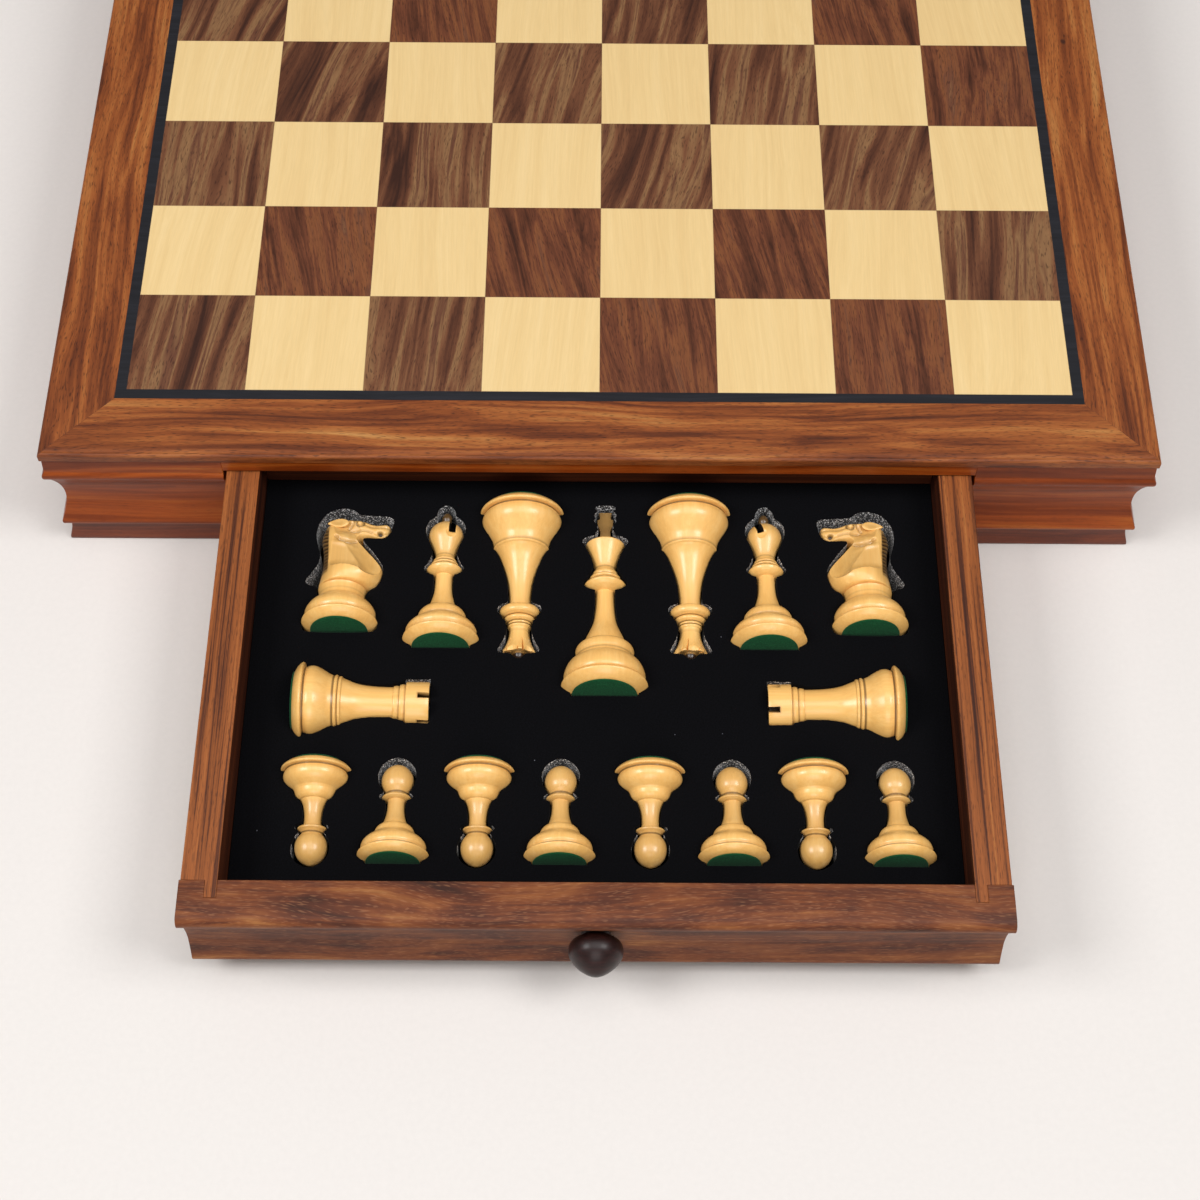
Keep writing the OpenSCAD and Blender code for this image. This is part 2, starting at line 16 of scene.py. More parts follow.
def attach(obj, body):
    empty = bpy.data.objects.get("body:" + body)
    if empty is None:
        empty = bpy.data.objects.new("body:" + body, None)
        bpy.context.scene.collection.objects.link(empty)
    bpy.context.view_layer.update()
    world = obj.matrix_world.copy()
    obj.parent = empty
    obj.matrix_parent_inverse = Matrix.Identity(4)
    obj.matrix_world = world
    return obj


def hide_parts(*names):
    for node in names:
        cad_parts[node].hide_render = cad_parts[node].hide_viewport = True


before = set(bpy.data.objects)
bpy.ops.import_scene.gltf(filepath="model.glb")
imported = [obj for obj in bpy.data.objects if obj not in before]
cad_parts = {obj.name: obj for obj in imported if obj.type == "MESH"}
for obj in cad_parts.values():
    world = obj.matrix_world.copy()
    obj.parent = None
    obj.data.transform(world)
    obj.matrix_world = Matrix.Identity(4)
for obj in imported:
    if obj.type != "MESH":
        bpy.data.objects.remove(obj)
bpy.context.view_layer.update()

bl_info = {
    "name": "Chess Box with Drawers",
    "version": (1, 0, 0),
    "blender": (4, 5, 0),
    "location": "3D View > Sidebar > Chess Box",
    "description": "Builds the wood, the lining, the men and the stage of a chess box with two drawers",
    "category": "Object",
}

MM = 0.001

# Board and frame
SQUARE = 57.0
PLAY = 4 * SQUARE
EDGE = PLAY + 5.3
FRAME_W = 33.0
HALF = EDGE + FRAME_W
TOP = 76.0
DECK = 70.0

# Case, drawers and lining, with each drawer in its closed place
PLINTH = 15.0
PLINTH_T = 30.0
WALL_T = 22.0
OPENING = 180.0
OPENING_Z = 63.0
BAY = 162.3
DRAWER_Z = 15.5
PANEL_Z = 18.0
DRAWER_TOP = 62.2
FACE_HALF = 179.0
FACE_T = 18.7
SLOT_END = 10.7
SIDE_T = 16.0
TONGUE_T = 5.3
TONGUE_L = 7.95
INSIDE_Y = -247.6
TAIL_Y = -18.8
BACK_Y = -30.8
BACK_T = 12.0
PULL = 226.3
KNOB_Z = 38.5
KNOB_Y = -261.9
AXIS_Z = 39.75
LINING_Z = 41.9
TIP = 3.0
MITRE_GAP = 0.04
BOARD_EDGE = 0.3


# ---------------------------------------------------------------- places

def shift(x, y, z):
    """A move, as a 4 by 4 matrix."""
    move = np.eye(4)
    move[:3, 3] = x, y, z
    return move


def spin(axis, degrees):
    """A right-handed turn about a main axis, as a 4 by 4 matrix."""
    return np.array(Matrix.Rotation(math.radians(degrees), 4, axis))


BAYS = {"front": shift(0, -PULL, 0), "back": spin("Z", 180)}


# ---------------------------------------------------------------- shapes

def arc(centre, radius, first, last, count):
    """Points on a circle: centre + radius (cos a, sin a), with a from first to last in degrees."""
    a = np.radians(np.linspace(first, last, count))
    return np.stack([centre[0] + radius * np.cos(a), centre[1] + radius * np.sin(a)], -1)


def bow(start, stop, sag, count):
    """A chord from start to stop pushed sideways by sag 4 t (1 - t)."""
    t = np.linspace(0, 1, count)[:, None]
    start, stop = np.array(start, float), np.array(stop, float)
    return start + (stop - start) * t + np.array([sag, 0.0]) * 4 * t * (1 - t)


def stroke(points, count=10):
    """A smooth line through points: each span is the cubic whose slope at a point is half the step between
    its neighbours."""
    p = np.asarray(points, float)
    wide = np.vstack([2 * p[0] - p[1], p, 2 * p[-1] - p[-2]])
    t = np.linspace(0, len(p) - 1, count)
    k = np.minimum(t.astype(int), len(p) - 2)
    f = (t - k)[:, None]
    a, b, c, d = wide[k], wide[k + 1], wide[k + 2], wide[k + 3]
    return 0.5 * (2 * b + (c - a) * f + (2 * a - 5 * b + 4 * c - d) * f ** 2 + (3 * b - a - 3 * c + d) * f ** 3)


def outline_through(points, count):
    """The same smooth line carried round a closed ring of points."""
    p = np.asarray(points, float)
    t = np.linspace(0, len(p), count, endpoint=False)
    k = t.astype(int)
    f = (t - k)[:, None]
    a, b, c, d = (p[(k + step) % len(p)] for step in (-1, 0, 1, 2))
    return 0.5 * (2 * b + (c - a) * f + (2 * a - 5 * b + 4 * c - d) * f ** 2 + (3 * b - a - 3 * c + d) * f ** 3)


def run(profile, start, stop, steps=24):
    """A moulding carried along X: point k of the profile goes from start k to stop k at its own depth and
    height."""
    y, z = profile[:, 0] - HALF, profile[:, 1]
    t = np.linspace(0, 1, steps + 1)[:, None]
    x = start + (stop - start) * t + 0 * y
    return np.stack([x, y + 0 * t, z + 0 * t], -1)


def mitre(profile):
    """The place where each point of a front moulding meets the next side: its own distance from the centre."""
    return HALF - profile[:, 0] - MITRE_GAP


def beam(low, high, steps=1):
    """A board between two corners, as four edges carried along X."""
    x = np.linspace(low[0], high[0], steps + 1)[:, None]
    y = np.array([low[1], high[1], high[1], low[1]])
    z = np.array([low[2], low[2], high[2], high[2]])
    return np.stack([x + 0 * y, y + 0 * x, z + 0 * x], -1)


def lathe(profile, angles=72):
    """A profile of (radius, height) turned round Z: x = r cos a, y = r sin a."""
    a = np.linspace(0, 2 * math.pi, angles, endpoint=False) if np.isscalar(angles) else angles
    r, z = profile[:, 0:1], profile[:, 1:2]
    return np.stack([r * np.cos(a), r * np.sin(a), z + 0 * a], -1)


def cells(shape, round_u, round_v):
    """Corner numbers of the cells of a grid; a round direction joins its last row to its first."""
    m, n = shape
    u = np.arange(m if round_u else m - 1)[:, None]
    v = np.arange(n if round_v else n - 1)[None, :]
    u1, v1 = (u + 1) % m, (v + 1) % n
    return np.stack([u * n + v, u * n + v1, u1 * n + v1, u1 * n + v], -1).reshape(-1, 4)


class Skin:
    """Points and faces of one piece, gathered sheet by sheet."""

    def __init__(self):
        self.points, self.carving, self.faces, self.marks, self.count = [], [], [], [], 0

    def grid(self, points, round_u=False, round_v=True, caps=False, mark=0, carved=None):
        """Adds a grid of points; caps closes the first and the last row with one face each."""
        m, n = points.shape[:2]
        faces = (cells((m, n), round_u, round_v) + self.count).tolist()
        if caps:
            faces += [(np.arange(n) + self.count).tolist(), (np.arange(n) + self.count + (m - 1) * n).tolist()]
        self.raw(points.reshape(-1, 3), faces, mark, True, carved)
        return self

    def raw(self, points, faces, mark=0, counted=False, carved=None):
        """Adds points and faces as they are, with one mark or one for each face, and how much painted shade
        each point gets."""
        if not counted:
            faces = [[k + self.count for k in face] for face in faces]
        self.points.append(np.asarray(points, float))
        self.carving.append(np.zeros(len(points)) if carved is None else np.asarray(carved, float).ravel())
        self.faces += faces
        self.marks += [mark] * len(faces) if np.isscalar(mark) else list(mark)
        self.count += len(points)
        return self


def shaped(name, skin, place=None, offset=0.0, along="X", crease=35, finishes=()):
    """One object in its place: doubles merged, faces turned outwards, and each point's place in the wood
    kept as grain."""
    mesh = bpy.data.meshes.new(name)
    mesh.from_pydata(np.concatenate(skin.points) * MM, [], skin.faces)
    mesh.polygons.foreach_set("material_index", skin.marks)
    # painted shade: each point's share, kept as an attribute that the wood finish reads to darken its colour
    mesh.attributes.new("carved", "FLOAT", "POINT").data.foreach_set("value", np.concatenate(skin.carving))
    shape = bmesh.new()
    shape.from_mesh(mesh)
    bmesh.ops.remove_doubles(shape, verts=shape.verts, dist=0.004 * MM)
    bmesh.ops.dissolve_degenerate(shape, edges=shape.edges, dist=0.002 * MM)
    bmesh.ops.recalc_face_normals(shape, faces=shape.faces)
    shape.to_mesh(mesh)
    shape.free()
    local = np.empty(len(mesh.vertices) * 3)
    mesh.vertices.foreach_get("co", local)
    local = local.reshape(-1, 3) / MM
    grain = np.roll(local, {"X": 0, "Y": -1, "Z": -2}[along], axis=1) + offset * np.array([0.37, 1.0, 0.61])
    mesh.attributes.new("grain", "FLOAT_VECTOR", "POINT").data.foreach_set("vector", grain.ravel())
    if place is not None:
        local = local @ place[:3, :3].T + place[:3, 3]
    mesh.vertices.foreach_set("co", (local * MM).ravel())
    mesh.polygons.foreach_set("use_smooth", [True] * len(mesh.polygons))
    mesh.set_sharp_from_angle(angle=math.radians(crease))
    for each in finishes:
        mesh.materials.append(each)
    mesh.update()
    obj = bpy.data.objects.new(name, mesh)
    bpy.context.scene.collection.objects.link(obj)
    return obj


def piece(name, skin, finishes, body, nodes=(), place=None, edge=0.0, offset=0.0, along="X", crease=35):
    """Makes an object that rides on a body, stands for its CAD nodes, and has its edges eased."""
    obj = shaped(name, skin, place, offset, along, crease, finishes)
    if edge:
        bevel = obj.modifiers.new("Eased edges", "BEVEL")
        bevel.width = edge * MM
        bevel.segments = 2
        bevel.limit_method = "ANGLE"
        bevel.angle_limit = math.radians(40)
    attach(obj, body)
    if nodes:
        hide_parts(*nodes)
    return obj


# ---------------------------------------------------------------- finishes

def linear(code):
    """An sRGB hex value as linear red, green, blue and alpha."""
    parts = [int(code[i:i + 2], 16) / 255 for i in (1, 3, 5)]
    return tuple(c / 12.92 if c <= 0.04045 else ((c + 0.055) / 1.055) ** 2.4 for c in parts) + (1.0,)


def put(tree, kind, feed=None, out=0, stops=None, **settings):
    """Adds a node, gives it its settings and colour stops, sets or links its inputs, and returns one output."""
    node = tree.nodes.new("ShaderNode" + kind)
    for key, value in settings.items():
        setattr(node, key, value)
    if stops:
        ramp = node.color_ramp.elements
        while len(ramp) < len(stops):
            ramp.new(0.5)
        for element, (position, code) in zip(ramp, stops):
            element.position, element.color = position, linear(code) if isinstance(code, str) else code
    for key, value in (feed or {}).items():
        if isinstance(value, bpy.types.NodeSocket):
            tree.links.new(value, node.inputs[key])
        else:
            node.inputs[key].default_value = value
    return node.outputs[out]


def surface(name, colour="#808080", **constants):
    """Starts a material: one surface shader with its constants set on its own sockets."""
    finish = bpy.data.materials.new(name)
    finish.use_nodes = True
    shader = finish.node_tree.nodes["Principled BSDF"]
    shader.inputs["Base Color"].default_value = linear(colour)
    for key, value in constants.items():
        shader.inputs[key.replace("_", " ")].default_value = value
    return finish, finish.node_tree, shader


def chosen(name):
    """A colour that the user may change, as linear red, green, blue and alpha."""
    return tuple(getattr(bpy.context.scene.chess_box_colours, name)) + (1.0,)


def spot_of(tree, along):
    """Where a point lies in the wood, in millimetres with X along the grain: the piece's own grain, or
    Object coordinates turned."""
    if along == "grain":
        return put(tree, "Attribute", out="Vector", attribute_name="grain")
    turn = {"X": (0, 0, 0), "Y": (0, 0, -math.pi / 2), "Z": (0, math.pi / 2, 0)}[along]
    return put(tree, "Mapping", {"Vector": put(tree, "TexCoord", out="Object"), "Scale": (1000,) * 3,
                                 "Rotation": turn})


def wood(name, tones, along="grain", figure=9.0, stretch=22.0, fine=0.42, warp=13.0, fibre=0.10, pores=0.5,
         pore_tone="#2A120A",
         clouds=0.0, cloud_size=(26, 11), knots=0.0, patches=0.0, other=None, seam=0.0, roughness=0.5, coat=0.0,
         relief=0.03, gloss=0.3, painted_shade_tone=None):
    """Oiled or polished wood: slow drift bends stretched figure and growth bands, over fine fibres and open
    pores."""
    finish, tree, shader = surface(name, Roughness=roughness, IOR=1.5, Specular_IOR_Level=gloss,
                                   Coat_Weight=coat, Coat_Roughness=0.22)
    spot = spot_of(tree, along)
    patch = None
    if patches:
        # each veneer patch is cut from another part of the leaf, and turned a little
        cell = put(tree, "VectorMath", {0: put(tree, "VectorMath", {0: spot, 1: (PLAY, PLAY, 0)},
                                               operation="ADD"),
                                        1: (1 / SQUARE, 1 / SQUARE, 0)}, operation="MULTIPLY")
        cell = put(tree, "VectorMath", {0: cell}, operation="FLOOR")
        patch = put(tree, "TexWhiteNoise", {"Vector": cell}, out="Color", noise_dimensions="3D")
        share = put(tree, "TexWhiteNoise", {"Vector": cell}, out="Value", noise_dimensions="3D")
        tilt = put(tree, "MapRange", {"Value": share, "To Min": -patches, "To Max": patches})
        spot = put(tree, "VectorRotate", {"Vector": spot, "Angle": tilt}, rotation_type="Z_AXIS")
        spot = put(tree, "VectorMath", {0: patch, 1: (700, 700, 700), 2: spot}, operation="MULTIPLY_ADD")
    slow = put(tree, "VectorMath", {0: spot, 1: (1 / 190, 1 / 42, 1 / 42)}, operation="MULTIPLY")
    slow = put(tree, "TexNoise", {"Vector": slow, "Scale": 1.0, "Detail": 2.0}, out="Color")
    drift = put(tree, "VectorMath", {0: slow, 1: (8, 2 * warp, 2 * warp), 2: spot}, operation="MULTIPLY_ADD")
    layers = []
    for length, width, detail in ((figure * stretch, figure, 3.0), (150, figure * 0.24, 2.0), (13, 0.55, 1.0),
                                  (3.8, 0.36, 0.0)):
        lane = put(tree, "VectorMath", {0: drift, 1: (1 / length, 1 / width, 1 / width)}, operation="MULTIPLY")
        layers.append(put(tree, "TexNoise", {"Vector": lane, "Scale": 1.0, "Detail": detail,
                                             "Roughness": 0.55}))
    value = put(tree, "Math", {0: layers[1], 1: fine,
                               2: put(tree, "Math", {0: layers[0], 1: 1 - fine}, operation="MULTIPLY")},
                operation="MULTIPLY_ADD")
    if clouds:
        blot = put(tree, "VectorMath", {0: drift, 1: (1 / cloud_size[0], 1 / cloud_size[1], 1 / cloud_size[1])},
                   operation="MULTIPLY")
        blot = put(tree, "TexNoise", {"Vector": blot, "Scale": 1.0, "Detail": 4.0, "Roughness": 0.6})
        value = put(tree, "Math", {0: put(tree, "Math", {0: blot, 1: 0.5}, operation="SUBTRACT"), 1: clouds,
                                   2: value},
                    operation="MULTIPLY_ADD")
    if patches:
        value = put(tree, "Math", {0: share, 1: 0.12,
                                   2: put(tree, "Math", {0: value, 1: 0.06}, operation="SUBTRACT")},
                    operation="MULTIPLY_ADD")
    colour = put(tree, "ValToRGB", {"Fac": value}, stops=tones)
    if other:
        # some leaves are cut straight across the rings: their stripes are stronger and paler
        stripe = put(tree, "VectorMath", {0: drift, 1: (1 / 240, 1 / 9, 1 / 9)}, operation="MULTIPLY")
        stripe = put(tree, "TexNoise", {"Vector": stripe, "Scale": 1.0, "Detail": 3.0, "Roughness": 0.6})
        pick = put(tree, "MapRange", {"Value": put(tree, "SeparateColor", {"Color": patch}), "From Min": 0.42,
                                      "From Max": 0.58})
        colour = put(tree, "Mix", {0: pick, 6: colour, 7: put(tree, "ValToRGB", {"Fac": stripe}, stops=other)},
                     out=2,
                     data_type="RGBA")
    fleck = put(tree, "MapRange", {"Value": layers[2], "From Min": 0.25, "From Max": 0.75, "To Min": 1 - fibre,
                                   "To Max": 1 + fibre})
    colour = put(tree, "HueSaturation", {"Color": colour, "Value": fleck})
    hole = put(tree, "MapRange", {"Value": layers[3], "From Min": 0.6, "From Max": 0.74, "To Min": 0.0,
                                  "To Max": pores})
    colour = put(tree, "Mix", {0: hole, 6: colour, 7: linear(pore_tone)}, out=2, data_type="RGBA")
    if knots:
        net = put(tree, "VectorMath", {0: spot, 1: (1 / 46, 1 / 30, 1 / 30)}, operation="MULTIPLY")
        near = put(tree, "TexVoronoi", {"Vector": net, "Scale": 1.0}, out="Distance")
        some = put(tree, "TexVoronoi", {"Vector": net, "Scale": 1.0}, out="Color")
        some = put(tree, "Math", {0: put(tree, "SeparateColor", {"Color": some}), 1: 0.62},
                   operation="GREATER_THAN")
        near = put(tree, "MapRange", {"Value": near, "From Min": 0.028, "From Max": 0.06, "To Min": knots,
                                      "To Max": 0.0})
        colour = put(tree, "Mix", {0: put(tree, "Math", {0: near, 1: some}, operation="MULTIPLY"), 6: colour,
                                   7: linear("#241410")}, out=2, data_type="RGBA")
    if seam:
        # a hair of glue shows where two patches meet
        wave = put(tree, "VectorMath", {0: put(tree, "VectorMath",
                                               {0: spot_of(tree, along), 1: (1 / SQUARE,) * 3},
                                        operation="MULTIPLY")}, operation="FRACTION")
        wave = put(tree, "VectorMath", {0: wave, 1: (0.5, 0.5, 0.5)}, operation="SUBTRACT")
        wave = put(tree, "SeparateXYZ", {"Vector": put(tree, "VectorMath", {0: wave}, operation="ABSOLUTE")})
        line = put(tree, "Math", {0: wave, 1: wave.node.outputs[1]}, operation="MAXIMUM")
        line = put(tree, "MapRange", {"Value": line, "From Min": 0.4955, "From Max": 0.498, "To Min": 0.0,
                                      "To Max": seam})
        colour = put(tree, "Mix", {0: line, 6: colour, 7: linear("#5A4030")}, out=2, data_type="RGBA")
    # painted shade: the colour goes towards the painted shade tone as far as each point's attribute says
    if painted_shade_tone:
        colour = put(tree, "Mix", {0: put(tree, "Attribute", out="Fac", attribute_name="carved"), 6: colour,
                                   7: linear(painted_shade_tone)},
                     out=2, data_type="RGBA")
    tree.links.new(colour, shader.inputs["Base Color"])
    height = put(tree, "Math", {0: layers[2], 1: 0.5,
                                2: put(tree, "Math", {0: hole, 1: -1.2}, operation="MULTIPLY")},
                 operation="MULTIPLY_ADD")
    tree.links.new(put(tree, "Bump", {"Height": height, "Distance": relief * MM, "Strength": 0.7},
                       out="Normal"),
                   shader.inputs["Normal"])
    return finish


def rose():
    """The tones of oiled sheesham round the chosen middle one."""
    return [(0.30, "#421F0F"), (0.40, "#643015"), (0.49, chosen("rosewood")), (0.57, "#9A592A"),
            (0.66, "#A96F3A"), (0.78, "#C08E54")]


def frame_rosewood():
    """Sheesham rail, sanded and oiled: brown-orange figure, open pores and a few pin knots."""
    return wood("Oiled sheesham frame", rose(), figure=11, stretch=15, fine=0.4, clouds=0.28,
                cloud_size=(120, 20), fibre=0.13, pores=0.6, knots=0.8)


def case_rosewood():
    """Sheesham moulding, lacquered: redder and more even than the frame."""
    return wood("Lacquered sheesham moulding",
                [(0.3, "#541E08"), (0.45, "#7A340E"), (0.56, "#944414"), (0.72, "#B06324")], figure=12, warp=9,
                fibre=0.06, clouds=0.2, cloud_size=(90, 15), pores=0.2, roughness=0.36, coat=0.1, gloss=0.15)


def plinth_rosewood():
    """Stained sheesham plinth: dark red-brown, lacquered."""
    return wood("Stained sheesham plinth", [(0.3, "#4A1E10"), (0.5, "#6C3018"), (0.7, "#8A4522")], figure=9,
                pores=0.3, roughness=0.36, coat=0.2)


def front_rosewood():
    """Sheesham drawer front: cloudy figure with pale filled pores."""
    return wood("Oiled sheesham drawer front",
                [(0.26, "#341506"), (0.42, "#532610"), (0.54, "#6D3717"), (0.66, "#824A22"), (0.8, "#9C6636")],
                figure=8, stretch=14, clouds=0.75, cloud_size=(40, 15), pores=0.22, pore_tone="#B9825A",
                fibre=0.13)


def side_rosewood():
    """Straight-grained sheesham drawer side, oiled: narrow dark and light stripes."""
    return wood("Striped sheesham drawer side",
                [(0.35, "#3A1A0C"), (0.43, "#582B13"), (0.485, "#84481F"), (0.57, "#935226"),
                 (0.72, "#A86A34")],
                figure=3.6, stretch=90, warp=2, fibre=0.08, pores=0.45)


def inner_rosewood_in_shade():
    """The same boards inside the drawer: painted dark red-brown as painted shade, and not polished."""
    return wood("Stained sheesham inside the drawer",
                [(0.3, "#220C05"), (0.45, "#38170A"), (0.55, "#4A2210"), (0.72, "#643218")], figure=5,
                stretch=60, warp=3, fibre=0.08, pores=0.3)


def dark_rosewood():
    """Turned rosewood, polished on the lathe: near-black red-brown."""
    return wood("Polished dark rosewood", [(0.3, "#120605"), (0.5, "#210E0C"), (0.72, "#381816")], figure=5,
                pores=0.2, fibre=0.08, roughness=0.42, coat=0.12)


def boxwood():
    """Turned boxwood, buffed with wax: close, pale yellow grain."""
    # the last tone, a dark brown, is painted shade for grooves, hollows and parts sunk in the pocket
    return wood("Waxed boxwood", [(0.3, "#ECB362"), (0.5, chosen("boxwood")), (0.7, "#F8C87C")], figure=6,
                stretch=12, warp=6, fibre=0.03, pores=0.04, pore_tone="#B88040", roughness=0.36, coat=0.5,
                relief=0.006, gloss=0.5, painted_shade_tone="#2E1806")


def dark_stained():
    """Boxwood stained dark and waxed, for the other side's men."""
    # the last tone, near black, is painted shade for grooves, hollows and parts sunk in the pocket
    return wood("Stained and waxed boxwood", [(0.3, "#2A1009"), (0.5, "#4A2015"), (0.72, "#6B3422")], figure=6,
                stretch=12, warp=6, fibre=0.06, pores=0.1, roughness=0.34, coat=0.3, relief=0.006, gloss=0.5,
                painted_shade_tone="#140806")


def shaded_saw_cut():
    """The sides of a saw cut in end grain: matt, and painted near-black brown as the shade deep in the cut."""
    finish, tree, shader = surface("Scorched end grain", Roughness=0.8, IOR=1.45, Specular_IOR_Level=0.2)
    grain = put(tree, "TexNoise", {"Vector": spot_of(tree, "X"), "Scale": 1.2, "Detail": 2.0})
    tree.links.new(put(tree, "ValToRGB", {"Fac": grain}, stops=[(0.35, "#0A0603"), (0.7, "#22140A")]),
                   shader.inputs["Base Color"])
    return finish


def maple_veneer():
    """Maple veneer under satin lacquer: faint straight lines."""
    return wood("Maple veneer", [(0.28, "#D9B880"), (0.5, "#DFC088"), (0.74, "#E4C791")], along="Y", figure=7,
                stretch=20, warp=9, fibre=0.03, pores=0.10, pore_tone="#D9B070", patches=0.10, seam=0.5,
                roughness=0.4, coat=0.15, relief=0.006)


def walnut_veneer():
    """Sheesham veneer under satin lacquer: wavy brown, grey-brown and reddish streaks with dark pores."""
    return wood("Dark sheesham veneer",
                [(0.24, "#32160B"), (0.36, "#4E2918"), (0.46, "#663823"), (0.54, "#7A4829"), (0.62, "#633B29"),
                 (0.78, "#906640")],
                other=[(0.3, "#341A10"), (0.41, "#56311F"), (0.49, "#6E452D"), (0.56, "#84603F"),
                       (0.63, "#5E3827"), (0.76, "#8A6240")],
                along="Y", figure=6.5, stretch=11, warp=16, clouds=0.35, cloud_size=(42, 12), fibre=0.12,
                pores=0.55, patches=0.3, relief=0.01)


def ebonised_strip():
    """Hardwood dyed black under satin lacquer: slightly blue."""
    return wood("Ebonised strip", [(0.3, "#16161A"), (0.5, "#1C1C21"), (0.75, "#26262C")], along="X", figure=3,
                fibre=0.1, pores=0.2, pore_tone="#141416", relief=0.006)


def plywood():
    """Birch plywood, sanded: pale faces, and dark glue lines 1.4 mm apart along the edges."""
    finish, tree, shader = surface("Birch plywood", Roughness=0.6, IOR=1.45)
    spot = spot_of(tree, "X")
    lane = put(tree, "VectorMath", {0: spot, 1: (1 / 60, 1 / 6, 1 / 0.8)}, operation="MULTIPLY")
    grain = put(tree, "TexNoise", {"Vector": lane, "Scale": 1.0, "Detail": 4.0, "Roughness": 0.6})
    colour = put(tree, "ValToRGB", {"Fac": grain}, stops=[(0.3, "#B08C5C"), (0.5, "#C8A878"), (0.7, "#D8BC90")])
    ply = put(tree, "Math", {0: put(tree, "SeparateXYZ", {"Vector": spot}, out="Z"), 1: 1 / 1.4},
              operation="MULTIPLY")
    ply = put(tree, "Math", {0: put(tree, "Math", {0: ply}, operation="FRACT"), 1: 0.82},
              operation="GREATER_THAN")
    colour = put(tree, "Mix", {0: put(tree, "Math", {0: ply, 1: 0.35}, operation="MULTIPLY"), 6: colour,
                               7: linear("#6E4C2C")}, out=2, data_type="RGBA")
    tree.links.new(colour, shader.inputs["Base Color"])
    return finish


def screw_steel():
    """Zinc-plated steel, as rolled: fine scratches blur its reflections."""
    finish, tree, shader = surface("Plated steel", "#B4B4B0", Metallic=1.0)
    grit = put(tree, "TexNoise", {"Vector": spot_of(tree, "X"), "Scale": 2.0, "Detail": 3.0})
    tree.links.new(put(tree, "MapRange", {"Value": grit, "To Min": 0.25, "To Max": 0.45}),
                   shader.inputs["Roughness"])
    return finish


def velvet():
    """Black velvet glued over foam: near-black pile, with a few specks of lint drawn larger than real so
    that they show."""
    finish, tree, shader = surface("Black velvet", "#0B0B0D", Roughness=0.9, IOR=1.3, Specular_IOR_Level=0.15,
                                   Sheen_Weight=0.04, Sheen_Roughness=0.4)
    spot = spot_of(tree, "X")
    nap = put(tree, "TexNoise", {"Vector": spot, "Scale": 1.6, "Detail": 3.0})
    colour = put(tree, "ValToRGB", {"Fac": nap}, stops=[(0.35, "#040405"), (0.7, chosen("velvet"))])
    speck = put(tree, "TexVoronoi", {"Vector": spot, "Scale": 1 / 7}, out="Distance")
    mark = put(tree, "MapRange", {"Value": speck, "From Min": 0.028, "From Max": 0.045, "To Min": 0.75,
                                  "To Max": 0.0})
    rare = put(tree, "TexWhiteNoise", {"Vector": put(tree, "TexVoronoi", {"Vector": spot, "Scale": 1 / 7},
                                                     out="Position")})
    rare = put(tree, "Math", {0: rare, 1: 0.9}, operation="GREATER_THAN")
    colour = put(tree, "Mix", {0: put(tree, "Math", {0: mark, 1: rare}, operation="MULTIPLY"), 6: colour,
                               7: linear("#6E7078")}, out=2, data_type="RGBA")
    tree.links.new(colour, shader.inputs["Base Color"])
    tree.links.new(put(tree, "Bump", {"Height": nap, "Distance": 0.3 * MM, "Strength": 0.4}, out="Normal"),
                   shader.inputs["Normal"])
    return finish


def pile_with_glints():
    """The cut sides of the pockets: torn black pile, with grey clumps and bright fibre ends about 0.7 mm apart
    painted on as glints of light: painted highlights."""
    finish, tree, shader = surface("Cut velvet pile", "#3A383C", Roughness=0.8, IOR=1.4, Sheen_Weight=0.3)
    spot = spot_of(tree, "X")
    grit = put(tree, "TexNoise", {"Vector": spot, "Scale": 1.35, "Detail": 1.0, "Roughness": 0.6})
    # the pale stops, up to white, are painted glints
    colour = put(tree, "ValToRGB", {"Fac": grit}, stops=[(0.44, "#050406"), (0.55, "#121014"),
                                                         (0.585, "#5A555C"), (0.62, "#FFFFFF")])
    tree.links.new(colour, shader.inputs["Base Color"])
    tree.links.new(put(tree, "Bump", {"Height": grit, "Distance": 0.5 * MM, "Strength": 0.8}, out="Normal"),
                   shader.inputs["Normal"])
    return finish


def green_felt():
    """Green wool felt: matted fibres, with a soft sheen."""
    finish, tree, shader = surface("Green felt", "#14502A", Roughness=0.95, IOR=1.3, Specular_IOR_Level=0.15,
                                   Sheen_Weight=0.06, Sheen_Roughness=0.5)
    spot = spot_of(tree, "X")
    mat = put(tree, "TexNoise", {"Vector": spot, "Scale": 1.7, "Detail": 5.0, "Roughness": 0.7})
    colour = put(tree, "ValToRGB", {"Fac": mat}, stops=[(0.34, "#0C3A1E"), (0.52, chosen("felt")),
                                                        (0.7, "#1E6238")])
    tree.links.new(colour, shader.inputs["Base Color"])
    tree.links.new(put(tree, "Bump", {"Height": mat, "Distance": 0.25 * MM, "Strength": 0.6}, out="Normal"),
                   shader.inputs["Normal"])
    return finish


FINISHES = {}


def made(make):
    """Each material is made once and shared."""
    if make.__name__ not in FINISHES:
        FINISHES[make.__name__] = make()
    return FINISHES[make.__name__]


def paint(node, make):
    """Gives a CAD node that is shown as it is a finished material."""
    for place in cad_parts[node].material_slots:
        place.material = made(make)


# ---------------------------------------------------------------- mouldings

# Each outline is a list of (set-back from the frame's edge, height)

